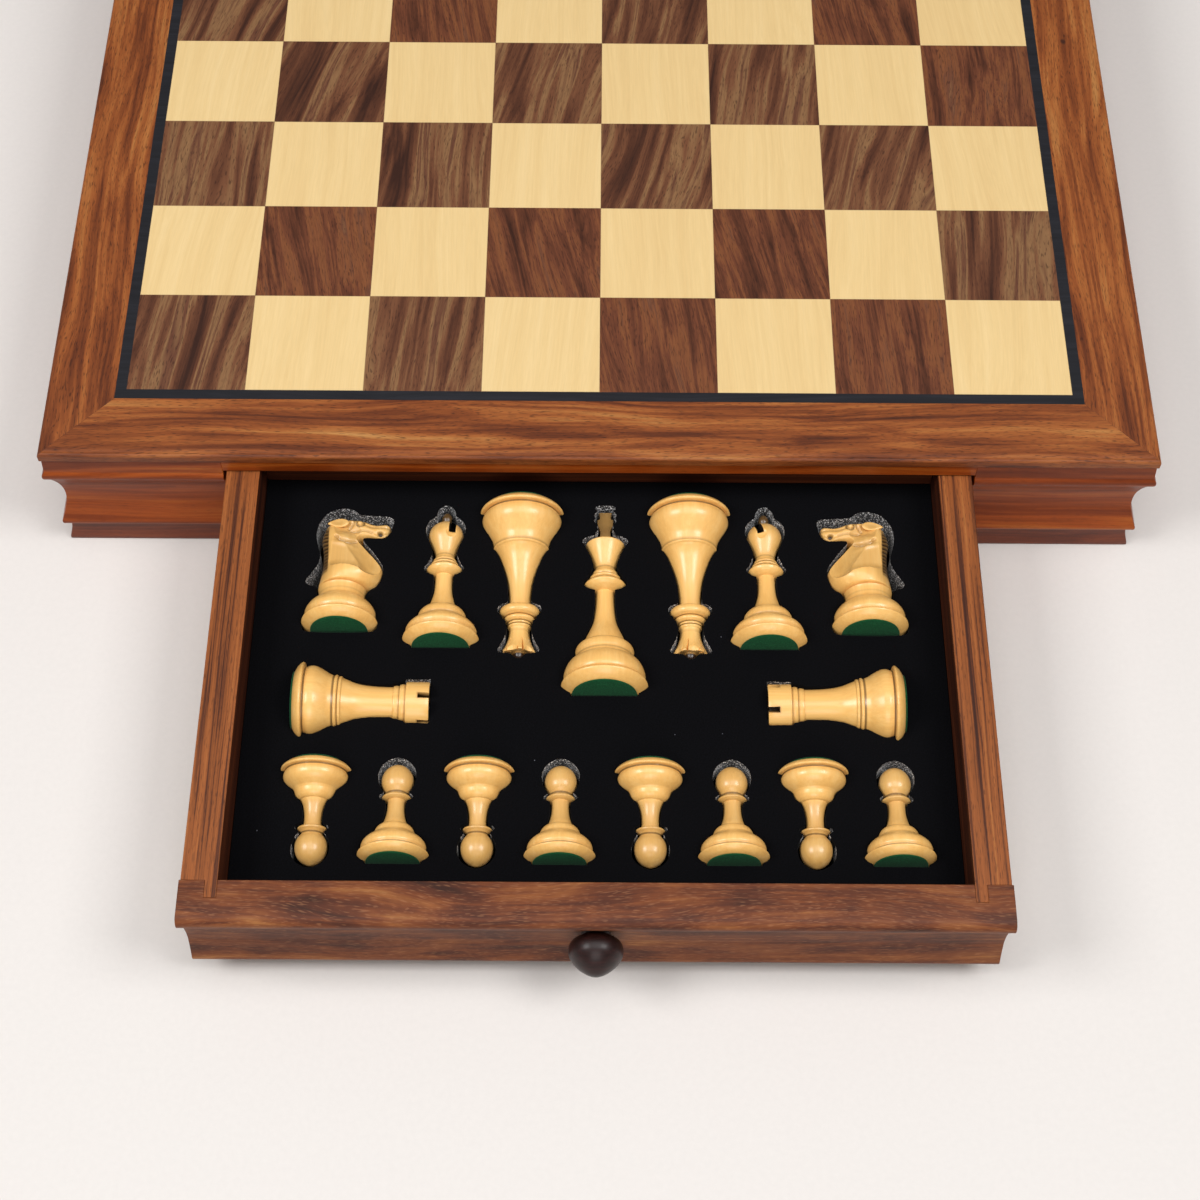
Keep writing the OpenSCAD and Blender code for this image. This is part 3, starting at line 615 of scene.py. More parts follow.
NOSE = (2.9, 57.8)
NOSE_R = 4.2
NOSE_FOOT = math.radians(60)
HOLLOW = np.vstack([
    arc(NOSE, NOSE_R, 180, 240, 9),
    bow((NOSE[0] - NOSE_R * math.cos(NOSE_FOOT) + 0.2, NOSE[1] - NOSE_R * math.sin(NOSE_FOOT) - 1), (3.9, 31.0),
        1.6, 14),
    [(3.7, 29.6)], bow((3.2, 28.4), (-0.6, 17.5), 0.25, 9),
    [(-0.7, 16.5), (-0.55, 15.6), (-0.3, PLINTH)]])
WALL = np.vstack([[(WALL_T, PLINTH), (WALL_T, DECK), (0.8, DECK)], arc(NOSE, NOSE_R, 132, 172, 7), HOLLOW])
RAIL = np.array([(WALL_T, OPENING_Z), (WALL_T, DECK), (0.8, DECK), (0.25, OPENING_Z)])
PLINTH_PROFILE = np.vstack([
    [(PLINTH_T, 0), (PLINTH_T, PLINTH), (2.2, PLINTH), (2.2, 10.8)],
    stroke([(2.2, 10.8), (1.9, 8.6), (1.2, 5.6), (0.2, 2.6)], 8), [(0, 1.6), (0, 0.6), (0.5, 0)]])
FRAME = np.vstack([
    [(FRAME_W, DECK), (FRAME_W, TOP), (5, TOP)], stroke([(5, TOP), (3.4, 75.93), (1.6, 75.6)], 5),
    arc((1.5, 74.15), 1.5, 92, 180, 7), [(0, 70.6), (0.6, DECK)]])


def face_profile(slotted):
    """The drawer front's outline; the part of its back above the bottom board steps in where a slot is cut
    for the tongue."""
    back = SLOT_END if slotted else FACE_T
    top = np.minimum(arc(NOSE, NOSE_R, 95, 172, 11), (99, DRAWER_TOP))
    hollow = np.maximum(HOLLOW, (-9, DRAWER_Z))
    rear = [(FACE_T, DRAWER_Z), (FACE_T, PANEL_Z), (back, PANEL_Z), (back, DRAWER_TOP), (SLOT_END, DRAWER_TOP)]
    return np.vstack([rear, top, hollow])


def eased(name="edge"):
    """A radius that the user may change, in millimetres."""
    return getattr(bpy.context.scene.chess_box_moulding, name) / MM


def moulded(name, profile, start, stop, quarter, make, node, offset, edge="edge"):
    """A length of moulding on one of the four sides, in place of its CAD node; the offset, in millimetres, says
    from which part of the wood it is cut."""
    skin = Skin().grid(run(profile, start, stop), caps=True)
    return piece(name, skin, [made(make)], "case", [node], spin("Z", 90 * quarter), eased(edge), offset)


# ---------------------------------------------------------------- men

# Each man: base radius, height and, above the foot, smooth strokes of (radius, height) that meet at sharp
# corners
MEN = {
    "king": (20.25, 102.0, [
        [(18.6, 7.3), (19.1, 8.8), (19.1, 10.3), (18.7, 12.2), (17.9, 14.3), (16.7, 16.2), (15.0, 17.5),
         (14.0, 18.2)],
        [(14.0, 18.2), (13.6, 19.1), (13.6, 20.6), (13.9, 22.2), (13.8, 23.8), (13.2, 25.2), (12.1, 26.2),
         (11.2, 26.7)],
        [(11.2, 26.7), (10.2, 27.0)],
        [(10.2, 27.0), (8.9, 31.0), (7.2, 35.0), (5.8, 39.0), (5.05, 44.0), (4.65, 50.0), (4.5, 56.4)],
        [(4.5, 56.4), (6.2, 56.8)], [(6.2, 56.8), (8.7, 57.9), (10.0, 59.3), (10.0, 60.2), (8.9, 61.4),
                                     (7.3, 62.2)],
        [(7.3, 62.2), (6.7, 62.5)], [(6.7, 62.5), (7.6, 63.2), (7.7, 64.0), (7.0, 64.8)],
        [(7.0, 64.8), (5.9, 65.1)], [(5.9, 65.1), (6.3, 66.0), (6.2, 67.0), (5.5, 67.9)],
        [(5.5, 67.9), (5.1, 69.2), (5.4, 71.0), (6.2, 73.4), (7.6, 77.2), (8.9, 80.6), (9.6, 82.7)],
        [(9.6, 82.7), (9.4, 83.2)], [(9.4, 83.2), (6.4, 84.3), (3.8, 84.8)],
        [(3.8, 84.8), (3.4, 85.6), (3.3, 86.6), (2.6, 87.3), (0.0, 87.5)]]),
    "queen": (20.15, 84.0, [
        [(18.5, 7.3), (19.1, 8.9), (19.1, 10.6), (18.5, 12.8), (17.1, 15.4), (15.5, 18.0), (14.2, 20.4),
         (13.5, 22.6), (13.2, 24.2)],
        [(13.2, 24.2), (13.4, 24.6), (13.3, 25.1), (12.8, 25.5)],
        [(12.5, 25.6), (11.4, 27.2), (10.0, 30.0), (8.9, 33.0), (7.85, 36.0), (6.6, 40.5), (5.75, 45.0),
         (5.2, 50.5), (5.05, 55.6)],
        [(5.05, 55.6), (7.4, 55.8)], [(7.4, 55.8), (9.1, 56.8), (9.7, 58.5), (9.2, 60.1), (7.7, 60.9)],
        [(7.7, 60.9), (6.5, 61.1)], [(6.5, 61.1), (7.3, 61.8), (7.3, 62.8), (6.3, 63.6)],
        [(6.3, 63.6), (5.2, 63.8)], [(5.2, 63.8), (5.7, 64.3), (5.6, 64.9), (5.1, 65.2)],
        [(5.1, 65.2), (5.6, 65.7), (5.5, 66.4), (5.0, 66.8)],
        [(5.0, 66.8), (4.85, 68.6), (5.2, 71.8), (6.2, 75.2), (7.6, 78.2), (8.5, 79.8)],
        [(8.5, 79.8), (8.3, 80.2), (7.6, 80.2)], [(7.6, 80.2), (5.6, 79.5), (2.9, 79.3)],
        [(2.9, 79.3), (2.7, 80.4), (2.3, 81.8), (1.3, 83.1), (0.5, 83.8), (0.0, 84.0)]]),
    "bishop": (18.0, 77.0, [
        [(16.2, 6.6), (16.8, 7.8), (16.8, 9.0), (16.0, 10.6), (14.6, 12.0), (12.9, 13.1), (11.9, 13.8)],
        [(11.9, 13.8), (11.3, 14.5), (11.5, 15.6), (11.4, 17.2), (10.8, 18.6), (9.7, 19.9), (8.4, 20.8)],
        [(8.4, 20.8), (7.2, 21.1)], [(7.2, 21.1), (6.2, 23.4), (5.3, 26.6), (4.6, 29.8), (4.3, 34.0),
                                     (4.3, 39.9)],
        [(4.3, 39.9), (5.9, 40.2)], [(5.9, 40.2), (7.7, 41.3), (8.5, 42.6), (8.5, 43.3), (7.6, 44.2),
                                     (6.5, 44.7)],
        [(6.5, 44.7), (5.9, 44.9)], [(5.9, 44.9), (6.7, 45.5), (6.7, 46.2), (5.8, 46.9)],
        [(5.8, 46.9), (5.1, 47.1)], [(5.1, 47.1), (5.7, 47.7), (5.6, 48.5), (5.0, 49.2)],
        [(5.0, 49.2), (4.7, 50.6), (5.0, 52.6), (6.1, 55.6), (7.5, 58.6), (8.3, 61.2), (8.4, 63.4), (7.6, 66.2),
         (5.9, 68.4),
         (3.6, 70.0), (2.2, 70.6)],
        [(2.2, 70.6), (1.9, 71.1), (2.5, 72.4), (2.6, 73.6), (2.1, 75.2), (1.1, 76.4), (0.0, 77.0)]]),
    "rook": (18.5, 63.0, [
        [(16.4, 6.8), (16.9, 8.3), (16.8, 10.4), (15.9, 12.6), (14.7, 14.8), (13.6, 16.6), (12.9, 18.2),
         (12.5, 19.2)],
        [(12.5, 19.2), (13.0, 19.8), (12.9, 20.6), (12.4, 20.9)], [(12.4, 20.9), (12.0, 21.1)],
        [(12.0, 21.1), (12.4, 21.7), (12.3, 22.5), (11.8, 22.9)],
        [(11.6, 23.0), (10.6, 25.6), (9.4, 28.8), (8.6, 32.6), (8.15, 37.0), (8.0, 41.5), (8.0, 46.4)],
        [(8.0, 46.4), (8.5, 46.6), (8.75, 48.0), (8.5, 49.3)],
        [(8.5, 49.3), (9.2, 49.5), (9.5, 50.8), (9.3, 52.1)],
        [(9.3, 52.1), (10.4, 52.3), (10.7, 53.1), (10.7, 57.7)]]),
    "pawn": (16.0, 49.0, [
        [(14.3, 5.9), (14.7, 6.9), (14.6, 8.3), (14.0, 9.8), (12.7, 11.3), (11.2, 12.5), (10.0, 13.3)],
        [(10.0, 13.3), (9.4, 14.1), (9.1, 15.0), (8.7, 16.1), (8.0, 17.2), (7.0, 18.1)],
        [(7.0, 18.1), (6.0, 18.4)], [(6.0, 18.4), (5.2, 20.3), (4.6, 22.4), (4.15, 25.0), (4.0, 28.0),
                                     (4.05, 30.9)],
        [(4.05, 30.9), (5.5, 31.1)], [(5.5, 31.1), (6.6, 31.8), (6.5, 32.5)],
        [(6.5, 32.5), (5.4, 33.2), (4.6, 34.0)],
        [(4.6, 34.0), (5.2, 35.0), (6.6, 37.0), (7.3, 39.6), (7.1, 42.6), (6.0, 45.3), (4.2, 47.3), (2.0, 48.5),
         (0.8, 48.9),
         (0.0, 49.0)]]),
    "knight": (18.0, 67.0, [
        [(16.3, 6.6), (16.8, 7.9), (16.8, 9.6), (16.0, 11.6), (14.8, 13.3), (13.2, 14.8), (11.9, 16.0)],
        [(11.9, 16.0), (11.2, 16.9), (11.0, 18.2), (11.0, 19.6), (11.2, 21.2), (11.5, 22.3)],
        [(11.5, 22.3), (10.8, 22.6)], [(10.8, 22.6), (10.6, 23.4), (10.6, 24.4)]]),
}

# Where the men lie: kind, name, place across, place of the underside behind the drawer front, heading, facing
PIECES = [("king", "king", 3.2, 99.8, 0, 1)]
for side, hand in ((-1, "left"), (1, "right")):
    PIECES += [("queen", "queen_" + hand, 3.2 + side * 40.375, 203.4, 180, 1),
               ("bishop", "bishop_" + hand, 3.2 + side * 77.0, 124.4, 0, 1),
               ("knight", "knight_" + hand, 3.2 + side * 125.0, 132.8, 0, -side),
               ("rook", "rook_" + hand, 0.5 + side * 141.3, 96.4, 90 * side, 1)]
PAWNS = [("pawn", "pawn_%d" % (i + 1),
          3.8 + (1 if i > 3 else -1) * (1.7 + ((i - 4 if i > 3 else 3 - i) + 0.5) * 36.914),
          65.4 if i % 2 == 0 else 16.4, 180 if i % 2 == 0 else 0, 1) for i in range(8)]


def foot(r):
    """Underside, wide chamfer, rim and the deep groove above it, from shares of the base radius."""
    return [[(0, 1.0), (0.765 * r, 1.0)],
            stroke([(0.765 * r, 1.0), (0.88 * r, 0.115 * r), (0.965 * r, 0.19 * r), (0.999 * r, 0.24 * r),
                    (0.995 * r, 0.268 * r),
                    (0.972 * r, 0.288 * r)], 16),
            stroke([(0.972 * r, 0.288 * r), (0.862 * r, 0.298 * r)], 7)]


def turned(kind):
    """The whole outline of a turned man: its foot, then every stroke of its body."""
    r, _, strokes = MEN[kind]
    body = [stroke([(0.862 * r, 0.316 * r), (0.875 * r, 0.33 * r)] + strokes[0], 38)]
    body += [stroke(points, 2 if len(points) == 2 else 5 * len(points) - 2) for points in strokes[1:]]
    return np.vstack([np.asarray(part, float) for part in foot(r) + body])


def shade_in_grooves(points):
    """How much painted shade lies at each point of a turned skin: most where the walls within 1.6 mm on both
    sides stand 0.35 mm higher than the floor, and less in shallower grooves."""
    r, z = np.hypot(points[:, 0, 0], points[:, 0, 1]), points[:, 0, 2]
    far = np.concatenate([[0], np.cumsum(np.hypot(np.diff(r), np.diff(z)))])
    gap = far[None, :] - far[:, None]
    before = np.where((gap <= 0) & (gap > -1.6), r[None, :], 0).max(1)
    after = np.where((gap >= 0) & (gap < 1.6), r[None, :], 0).max(1)
    deep = np.clip((np.minimum(before, after) - r) / 0.35, 0, 1)
    return 0.7 * deep[:, None] + 0 * points[..., 0]


def felt_pad(skin, r):
    """A round pad under the base: a disc whose edge is a smooth line, so that it looks a little soft."""
    edge = 0.752 * r
    rim = stroke([(edge - 0.3, 0.2), (edge, 0.4), (edge, 0.8), (edge - 0.1, 0.95)], 7)
    return skin.grid(lathe(np.vstack([[(0, 0.2)], rim, [(0, 0.95)]]), 64), mark=1)


def king_skin():
    """The turned king with a cross on top: a flared outline in X and Z, carried through a thickness along Y."""
    points = lathe(turned("king"))
    skin = Skin().grid(points, carved=shade_in_grooves(points))
    right = stroke([(3.2, 85.6), (2.7, 88.4), (2.5, 90.6), (2.9, 92.6), (3.7, 93.9), (4.0, 94.4)], 12)
    right = np.vstack([right, stroke([(4.0, 94.4), (3.9, 96.0), (4.0, 97.6)], 5),
                       stroke([(4.0, 97.6), (3.0, 98.2), (2.7, 99.2),
                       (2.9, 100.6), (3.3, 101.7)], 9), [(2.9, 102.0)]])
    ring = np.vstack([right, right[::-1] * (-1, 1)])
    middle = np.array([0.0, 94.0])
    layers = []
    for share, size in ((-1, 0.92), (-0.84, 1.0), (0.84, 1.0), (1, 0.92)):
        flat = middle + (ring - middle) * (size, 1 - (1 - size) * 0.4)
        thick = 2.0 + 0.05 * np.abs(flat[:, 1] - 92)
        layers.append(np.stack([flat[:, 0], share * thick, flat[:, 1]], -1))
    cross = np.array(layers)
    # the whole cross is painted darker: painted shade, where it lies deep in its pocket
    return skin.grid(cross, caps=True, carved=0.7 + 0 * cross[..., 0])


def queen_skin(corner_at):
    """The turned queen. Six facets are filed off the coronet: from z0 = 80.1 - 2.4 sin^2(3 (a - corner))
    upwards the radius keeps to the neck's own at z0, so that pointed corners stand between the facets."""
    profile = turned("queen")
    points = lathe(profile, 144)
    grooves = shade_in_grooves(points)
    a = np.arctan2(points[..., 1], points[..., 0]) - math.radians(corner_at)
    low = 80.1 - 2.4 * np.sin(3 * a) ** 2
    r, z = np.hypot(points[..., 0], points[..., 1]), points[..., 2]
    side = profile[(profile[:, 1] > 68) & (profile[:, 0] > 4.7) & (profile[:, 1] <= 79.9)]
    side = side[np.argsort(side[:, 1])]
    most = np.interp(low, side[:, 1], side[:, 0]) - 0.12 * np.maximum(z - low, 0)
    wanted = np.where((z > 72) & (r > 3.5), np.minimum(r, most), r)
    scale = wanted / np.maximum(r, 1e-6)
    points[..., 0] *= scale
    points[..., 1] *= scale
    # painted shade in the grooves below the coronet, and over the small ball on top
    return Skin().grid(points, carved=np.maximum(grooves * (z < 79),
                                                 np.clip((z - 79.3) / 0.8, 0, 1) * (r < 3.4)))


def rook_skin(slot_at):
    """The turned rook; its crown is a wall whose top drops to the slot floor between doubled angles at each
    slot's two sides."""
    half_slot = 7.2
    angles, low = [], []
    for k in range(5):
        middle = slot_at + 72 * k
        angles += [middle - half_slot, middle - half_slot, middle, middle + half_slot, middle + half_slot]
        low += [0, 1, 1, 1, 0]
        rest = np.linspace(middle + half_slot, middle + 72 - half_slot, 14)[1:-1]
        angles += rest.tolist()
        low += [0] * len(rest)
    low = np.array(low)
    wall = lathe(turned("rook"), np.radians(angles))
    crown = np.array([(10.7, 57.7), (10.85, 62.6), (10.6, 63.0), (8.2, 63.0), (7.9, 62.7), (7.7, 57.2),
                      (7.3, 56.8), (0, 56.5)])
    crown = lathe(crown, np.radians(angles))
    crown[..., 2] = np.where((low[None, :] == 1) & (crown[..., 2] > 57.8), 57.8, crown[..., 2])
    points = np.vstack([wall, crown[1:]])
    # painted shade: strong inside the hollow crown, lighter on the slot floors, and in the grooves below the
    # crown
    inside = (np.hypot(points[..., 0], points[..., 1]) < 8.3) & (points[..., 2] > 56.0)
    dark = 0.75 * inside + 0.35 * ((points[..., 2] > 57.5) & (low[None, :] == 1))
    return Skin().grid(points, carved=np.maximum(dark, shade_in_grooves(points) * (points[..., 2] < 56)))


# Knight: pairs of back and front points of the head's side view, half of the thickness there, and how boxy
# the section is
HORSE = np.array([
    (-10.6, 23.0, 11.6, 22.6, 11.2, 0.0), (-11.3, 23.4, 13.2, 22.9, 12.6, 0.0),
    (-11.4, 24.4, 14.8, 23.8, 13.2, 0.0),
    (-11.0, 27.0, 17.2, 26.6, 14.1, 0.0), (-10.6, 30.2, 18.4, 29.8, 14.3, 0.0),
    (-10.2, 34.2, 18.6, 33.4, 13.6, 0.1), (-10.1, 38.2, 15.6, 38.0, 12.0, 0.4),
    (-10.3, 42.0, 12.0, 42.2, 10.2, 0.7),
    (-10.9, 46.0, 8.7, 46.2, 9.0, 1.0), (-11.6, 49.6, 6.5, 49.0, 8.4, 1.0), (-11.2, 53.6, 6.1, 50.6, 8.1, 1.0),
    (-9.6, 57.4, 6.9, 51.3, 8.0, 1.0), (-7.2, 60.0, 7.8, 51.5, 7.7, 1.0), (-3.0, 61.3, 8.9, 51.5, 7.2, 1.0),
    (1.5, 61.7, 10.1, 51.5, 6.8, 1.0), (5.0, 61.6, 11.3, 51.5, 6.4, 1.0), (8.0, 61.0, 12.7, 51.5, 6.0, 1.0),
    (11.2, 59.9, 14.1, 51.4, 5.5, 1.0), (14.4, 59.3, 15.7, 51.3, 5.2, 1.0), (17.2, 59.7, 17.4, 51.3, 4.9, 1.0),
    (19.2, 60.0, 19.1, 52.1, 4.3, 1.0), (20.7, 58.9, 20.5, 54.0, 3.2, 1.0), (21.3, 57.3, 21.3, 55.8, 1.2, 1.0)])


def horse_relief(x, z):
    """Height of the relief on the side of the head in millimetres, a sum of smooth hills, hollows and grooves,
    and how much painted shade lies in them and on the mane."""
    def hill(cx, cz, rx, rz, turn=0.0, power=2):
        c, s = math.cos(math.radians(turn)), math.sin(math.radians(turn))
        u, v = (x - cx) * c + (z - cz) * s, -(x - cx) * s + (z - cz) * c
        return np.exp(-((u / rx) ** 2 + (v / rz) ** 2) ** (power / 2))

    def groove(points, width):
        best = np.full(x.shape, 99.0)
        line = stroke(points, 24)
        for (ax, az), (bx, bz) in zip(line[:-1], line[1:]):
            length2 = (bx - ax) ** 2 + (bz - az) ** 2 + 1e-9
            t = np.clip(((x - ax) * (bx - ax) + (z - az) * (bz - az)) / length2, 0, 1)
            best = np.minimum(best, np.hypot(x - ax - t * (bx - ax), z - az - t * (bz - az)))
        return np.exp(-(best / width) ** 2)

    # cheek, brow, and the muscles of the jaw and the neck
    y = 1.5 * hill(1.2, 50.4, 4.4, 2.6, -6, 3) + 0.9 * hill(6.8, 58.0, 2.6, 1.7) \
        + 0.8 * hill(-0.5, 45.2, 6.0, 1.3, -12)
    under_jaw = groove([(-4.0, 49.4), (-2.0, 47.4), (2.0, 46.8), (5.2, 47.8)], 0.75)
    y -= 1.1 * under_jaw
    eye = groove([(4.9, 57.7), (5.6, 59.3), (7.2, 59.7), (8.6, 58.6), (8.2, 56.8), (6.6, 56.1), (5.1, 57.1)],
                 0.45)
    y += 0.6 * hill(6.8, 57.9, 1.1, 1.0) - 0.9 * eye
    # lines in front of the ear, along the face, at the jaw and the mouth
    ear_line = groove([(4.0, 60.0), (3.2, 57.6), (1.4, 55.4)], 0.55)
    cheek_line = groove([(2.2, 54.2), (5.4, 53.6), (9.4, 54.0), (12.6, 53.4)], 0.6)
    face = groove([(9.0, 57.4), (12.6, 56.6), (16.0, 56.8), (20.4, 57.0)], 0.8)
    mouth = groove([(13.4, 52.6), (16.6, 52.0), (19.6, 53.6)], 0.36)
    nostril = hill(16.5, 53.2, 1.25, 1.05, 0, 3)
    y -= 0.8 * ear_line + 0.6 * cheek_line + 0.7 * face + 0.5 * mouth + 2.0 * nostril
    # the mane: a strip set back from the neck, cut across by close notches
    strip = np.clip((-6.7 - 0.06 * (z - 34) - x) / 0.5, 0, 1)
    strip = strip * np.clip((z - 27) / 2, 0, 1) * np.clip((57 - z) / 2, 0, 1)
    notch = (0.5 + 0.5 * np.cos(2 * math.pi * (z + 0.4 * x) / 2.0)) ** 1.4
    y -= strip * (0.5 + 1.3 * notch)
    # painted shade in the nostril, the eye, the lines of the face and jaw, and on the mane's strip and notches
    dark = nostril + 0.55 * eye + 0.3 * (ear_line + cheek_line + under_jaw) + 0.2 * face \
        + strip * (0.7 + 0.3 * notch)
    return y, np.clip(dark, 0, 1)


def horse_flats(x, z):
    """The most that half of the thickness may be: a flat at 8.1 mm on the neck and a slope that thins the
    breast towards its front edge; each turns outwards at its foot along a quarter circle, so that it ends on
    the round body in a crisp curved rim."""
    def cove(depth, radius):
        d = np.clip(depth, 0, 0.995 * radius)
        return radius - np.sqrt(radius ** 2 - d ** 2) + 3.0 * np.maximum(depth - 0.995 * radius, 0)

    inward = -0.806 * (x - 12.0) - 0.592 * (z - 42.2)
    neck = 8.1 + 0.010 * (x + 2.0) ** 2 + cove(36.4 - z - 0.02 * (x + 2) ** 2, 6.4)
    breast = 3.9 + 0.50 * np.maximum(inward, 0) + 0.045 * (inward - 4.0) ** 2 * (inward < 4.0) \
        + cove(inward - 6.2, 5.2) + cove(29.6 - z, 4.0)
    return np.minimum(neck, breast)


def knight_skin():
    """The turned base, and a neck and head carried along the pairs: each section is a rounded rectangle
    between back and front."""
    points = lathe(np.vstack([turned("knight"), [(0.0, 26.5)]]))
    # painted shade in the grooves, and a band of it on top of the turned part, under the overhanging bowl
    skin = Skin().grid(points, carved=np.maximum(shade_in_grooves(points),
                                                 0.5 * np.clip((points[..., 2] - 22.4) / 0.4, 0, 1)))
    pairs = stroke(HORSE, 240)
    a = np.linspace(0, 2 * math.pi, 168, endpoint=False)
    boxy = pairs[:, 5:6]
    across = np.sign(np.cos(a)) * np.abs(np.cos(a)) ** (1 - 0.15 * boxy)
    side = np.sign(np.sin(a)) * np.abs(np.sin(a)) ** (1 - 0.28 * boxy)
    middle, half = (pairs[:, :2] + pairs[:, 2:4]) / 2, (pairs[:, 2:4] - pairs[:, :2]) / 2
    x = middle[:, 0:1] + half[:, 0:1] * across
    z = middle[:, 1:2] + half[:, 1:2] * across
    thin = 1 - 0.15 * np.clip(-across, 0, 1) ** 3
    round_body, flats = pairs[:, 4:5] * np.abs(side) * thin, horse_flats(x, z)
    thick = np.minimum(round_body, flats)
    relief, dark = horse_relief(x, z)
    # more painted shade where the flats cut below the round body, and a little above z = 30, where the man
    # sinks into its pocket
    dark = dark + 0.13 * np.clip((round_body - flats) / 0.4, 0, 1) + 0.07 * np.clip((z - 30) / 3, 0, 1)
    dark = np.minimum(dark, 1)
    above = np.clip((z - 27) / 4, 0, 1)
    y = np.sign(side) * np.maximum(thick + np.abs(side) ** 0.8 * relief * above, 0.0)
    skin.grid(np.stack([x, y, z], -1), caps=True, carved=dark * above)
    for hand in (-1, 1):
        # an ear: a leaf laid back along the head, hollow on its outer side, with painted shade in the hollow
        t = np.linspace(0, 1, 20)[:, None]
        b = np.linspace(0, 2 * math.pi, 28, endpoint=False)[None, :]
        wide = 2.3 * np.sin(math.pi * t ** 0.72) ** 0.8 + 0.05
        hollow = np.clip(np.sin(b), 0, 1) ** 2 * np.sin(math.pi * t)
        ex = 1.4 - 10.4 * t - 0.1 * wide * np.cos(b)
        ez = 58.0 - 0.6 * t + wide * np.cos(b)
        ey = hand * (6.9 - 0.4 * t + (1.6 * np.sin(b) - 1.3 * hollow) * np.sin(math.pi * t) ** 0.5)
        skin.grid(np.stack([ex, ey, ez], -1), caps=True, carved=0.3 * hollow)
    return skin


# Height from which a man is painted browner, as painted shade where it sinks into its pocket, and how much
POCKET_SHADE = {"pawn": (18.0, 0.2), "bishop": (48.0, 0.1)}


def man_skin(kind, name):
    """The mesh of one man, standing on Z."""
    if kind == "king":
        skin = king_skin()
    elif kind == "queen":
        skin = queen_skin(-97 if name.endswith("left") else -67)
    elif kind == "rook":
        skin = rook_skin(-90 if name.endswith("left") else -121)
    elif kind == "knight":
        skin = knight_skin()
    else:
        points = lathe(turned(kind))
        # painted shade in the grooves, above a given height where the man sinks into its pocket, and on the
        # bishop's finial
        start, share = POCKET_SHADE[kind]
        pocket_shade = share * np.clip((points[..., 2] - start) / 3, 0, 1)
        finial = 0.9 * np.clip((points[..., 2] - 69.0) / 1.2, 0, 1)
        skin = Skin().grid(points, carved=np.maximum(np.maximum(shade_in_grooves(points), pocket_shade), finial))
    return felt_pad(skin, MEN[kind][0])


def lying(man, bay):
    """The turn and move that lays a man in its pocket, tipped a little down towards its head."""
    kind, _, x, y, heading, facing = man
    rise = 0.24 * MEN[kind][0] * math.sin(math.radians(TIP))
    stand = spin("Z", 0 if facing > 0 else 180)
    on_spot = BAYS[bay] @ shift(x, INSIDE_Y + y, 0) @ spin("Z", heading)
    return on_spot @ shift(0, 0, AXIS_Z + rise) @ spin("X", -(90 + TIP)) @ stand


def notch_bishop(obj, man, bay):
    """Cuts the slot in a bishop's mitre with a solid beam and a shallow round facet below it, and keeps the
    result."""
    left = man[1].endswith("left")
    slot_at, lean = ((3.4, 65.2), 2) if left else ((-3.0, 65.6), -14)
    beam_skin = Skin().grid(beam((-1.6, -13.0, -3.6), (1.6, 2.5, 8.0)), caps=True)
    t = np.linspace(-90, 90, 17)
    ball = Skin().grid(lathe(np.stack([5.6 * np.cos(np.radians(t)), 5.6 * np.sin(np.radians(t))], -1), 40))
    foot_x = slot_at[0] - 3.8 * math.sin(math.radians(lean))
    reach = math.sqrt(max(8.0 ** 2 - foot_x ** 2, 1)) + 4.75
    away = math.atan2(foot_x, 8.0)
    wooden = made(boxwood if bay == "front" else dark_stained)
    # the ball's facet keeps the wood; the slot's new faces take the painted shade of a saw cut
    for tool, place, finish in ((ball, shift(foot_x + reach * 0.25 * math.sin(away), -reach, 60.6), wooden),
                                (beam_skin, shift(slot_at[0], 0, slot_at[1]) @ spin("Y", lean),
                                 made(shaded_saw_cut))):
        cutter = shaped("cutter", tool, lying(man, bay) @ place, finishes=[finish])
        cut = obj.modifiers.new("Slot", "BOOLEAN")
        cut.operation, cut.solver, cut.material_mode, cut.object = "DIFFERENCE", "EXACT", "TRANSFER", cutter
        bpy.context.view_layer.update()
        whole = bpy.data.meshes.new_from_object(obj.evaluated_get(bpy.context.evaluated_depsgraph_get()))
        obj.modifiers.clear()
        if len(whole.polygons) == len(obj.data.polygons):
            raise RuntimeError("the slot of " + obj.name + " wasn't cut")
        obj.data = whole
        bpy.data.objects.remove(cutter)


def set_man(man, bay):
    """Builds one man in its pocket. A pale man rides on its own body and replaces its node; the dark men
    ride in the back drawer."""
    kind, name = man[:2]
    pale = bay == "front"
    body = "white_" + name if pale else "back_drawer"
    node = body if pale else ("dark_pawns" if kind == "pawn" else "dark_pieces")
    finishes = [made(boxwood if pale else dark_stained), made(green_felt)]
    seed = 90.0 * (sum(map(ord, name)) % 23) + 37 * len(name)
    obj = piece(("pale_" if pale else "dark_") + name, man_skin(kind, name), finishes, body, [node],
                lying(man, bay), 0.0, seed,
                "Z", 38)
    if kind == "bishop":
        notch_bishop(obj, man, bay)
    return obj


def set_men(kind):
    """Sets every man of one kind in both drawers."""
    for bay in BAYS:
        for man in PIECES + PAWNS:
            if man[0] == kind:
                set_man(man, bay)


# ---------------------------------------------------------------- lining

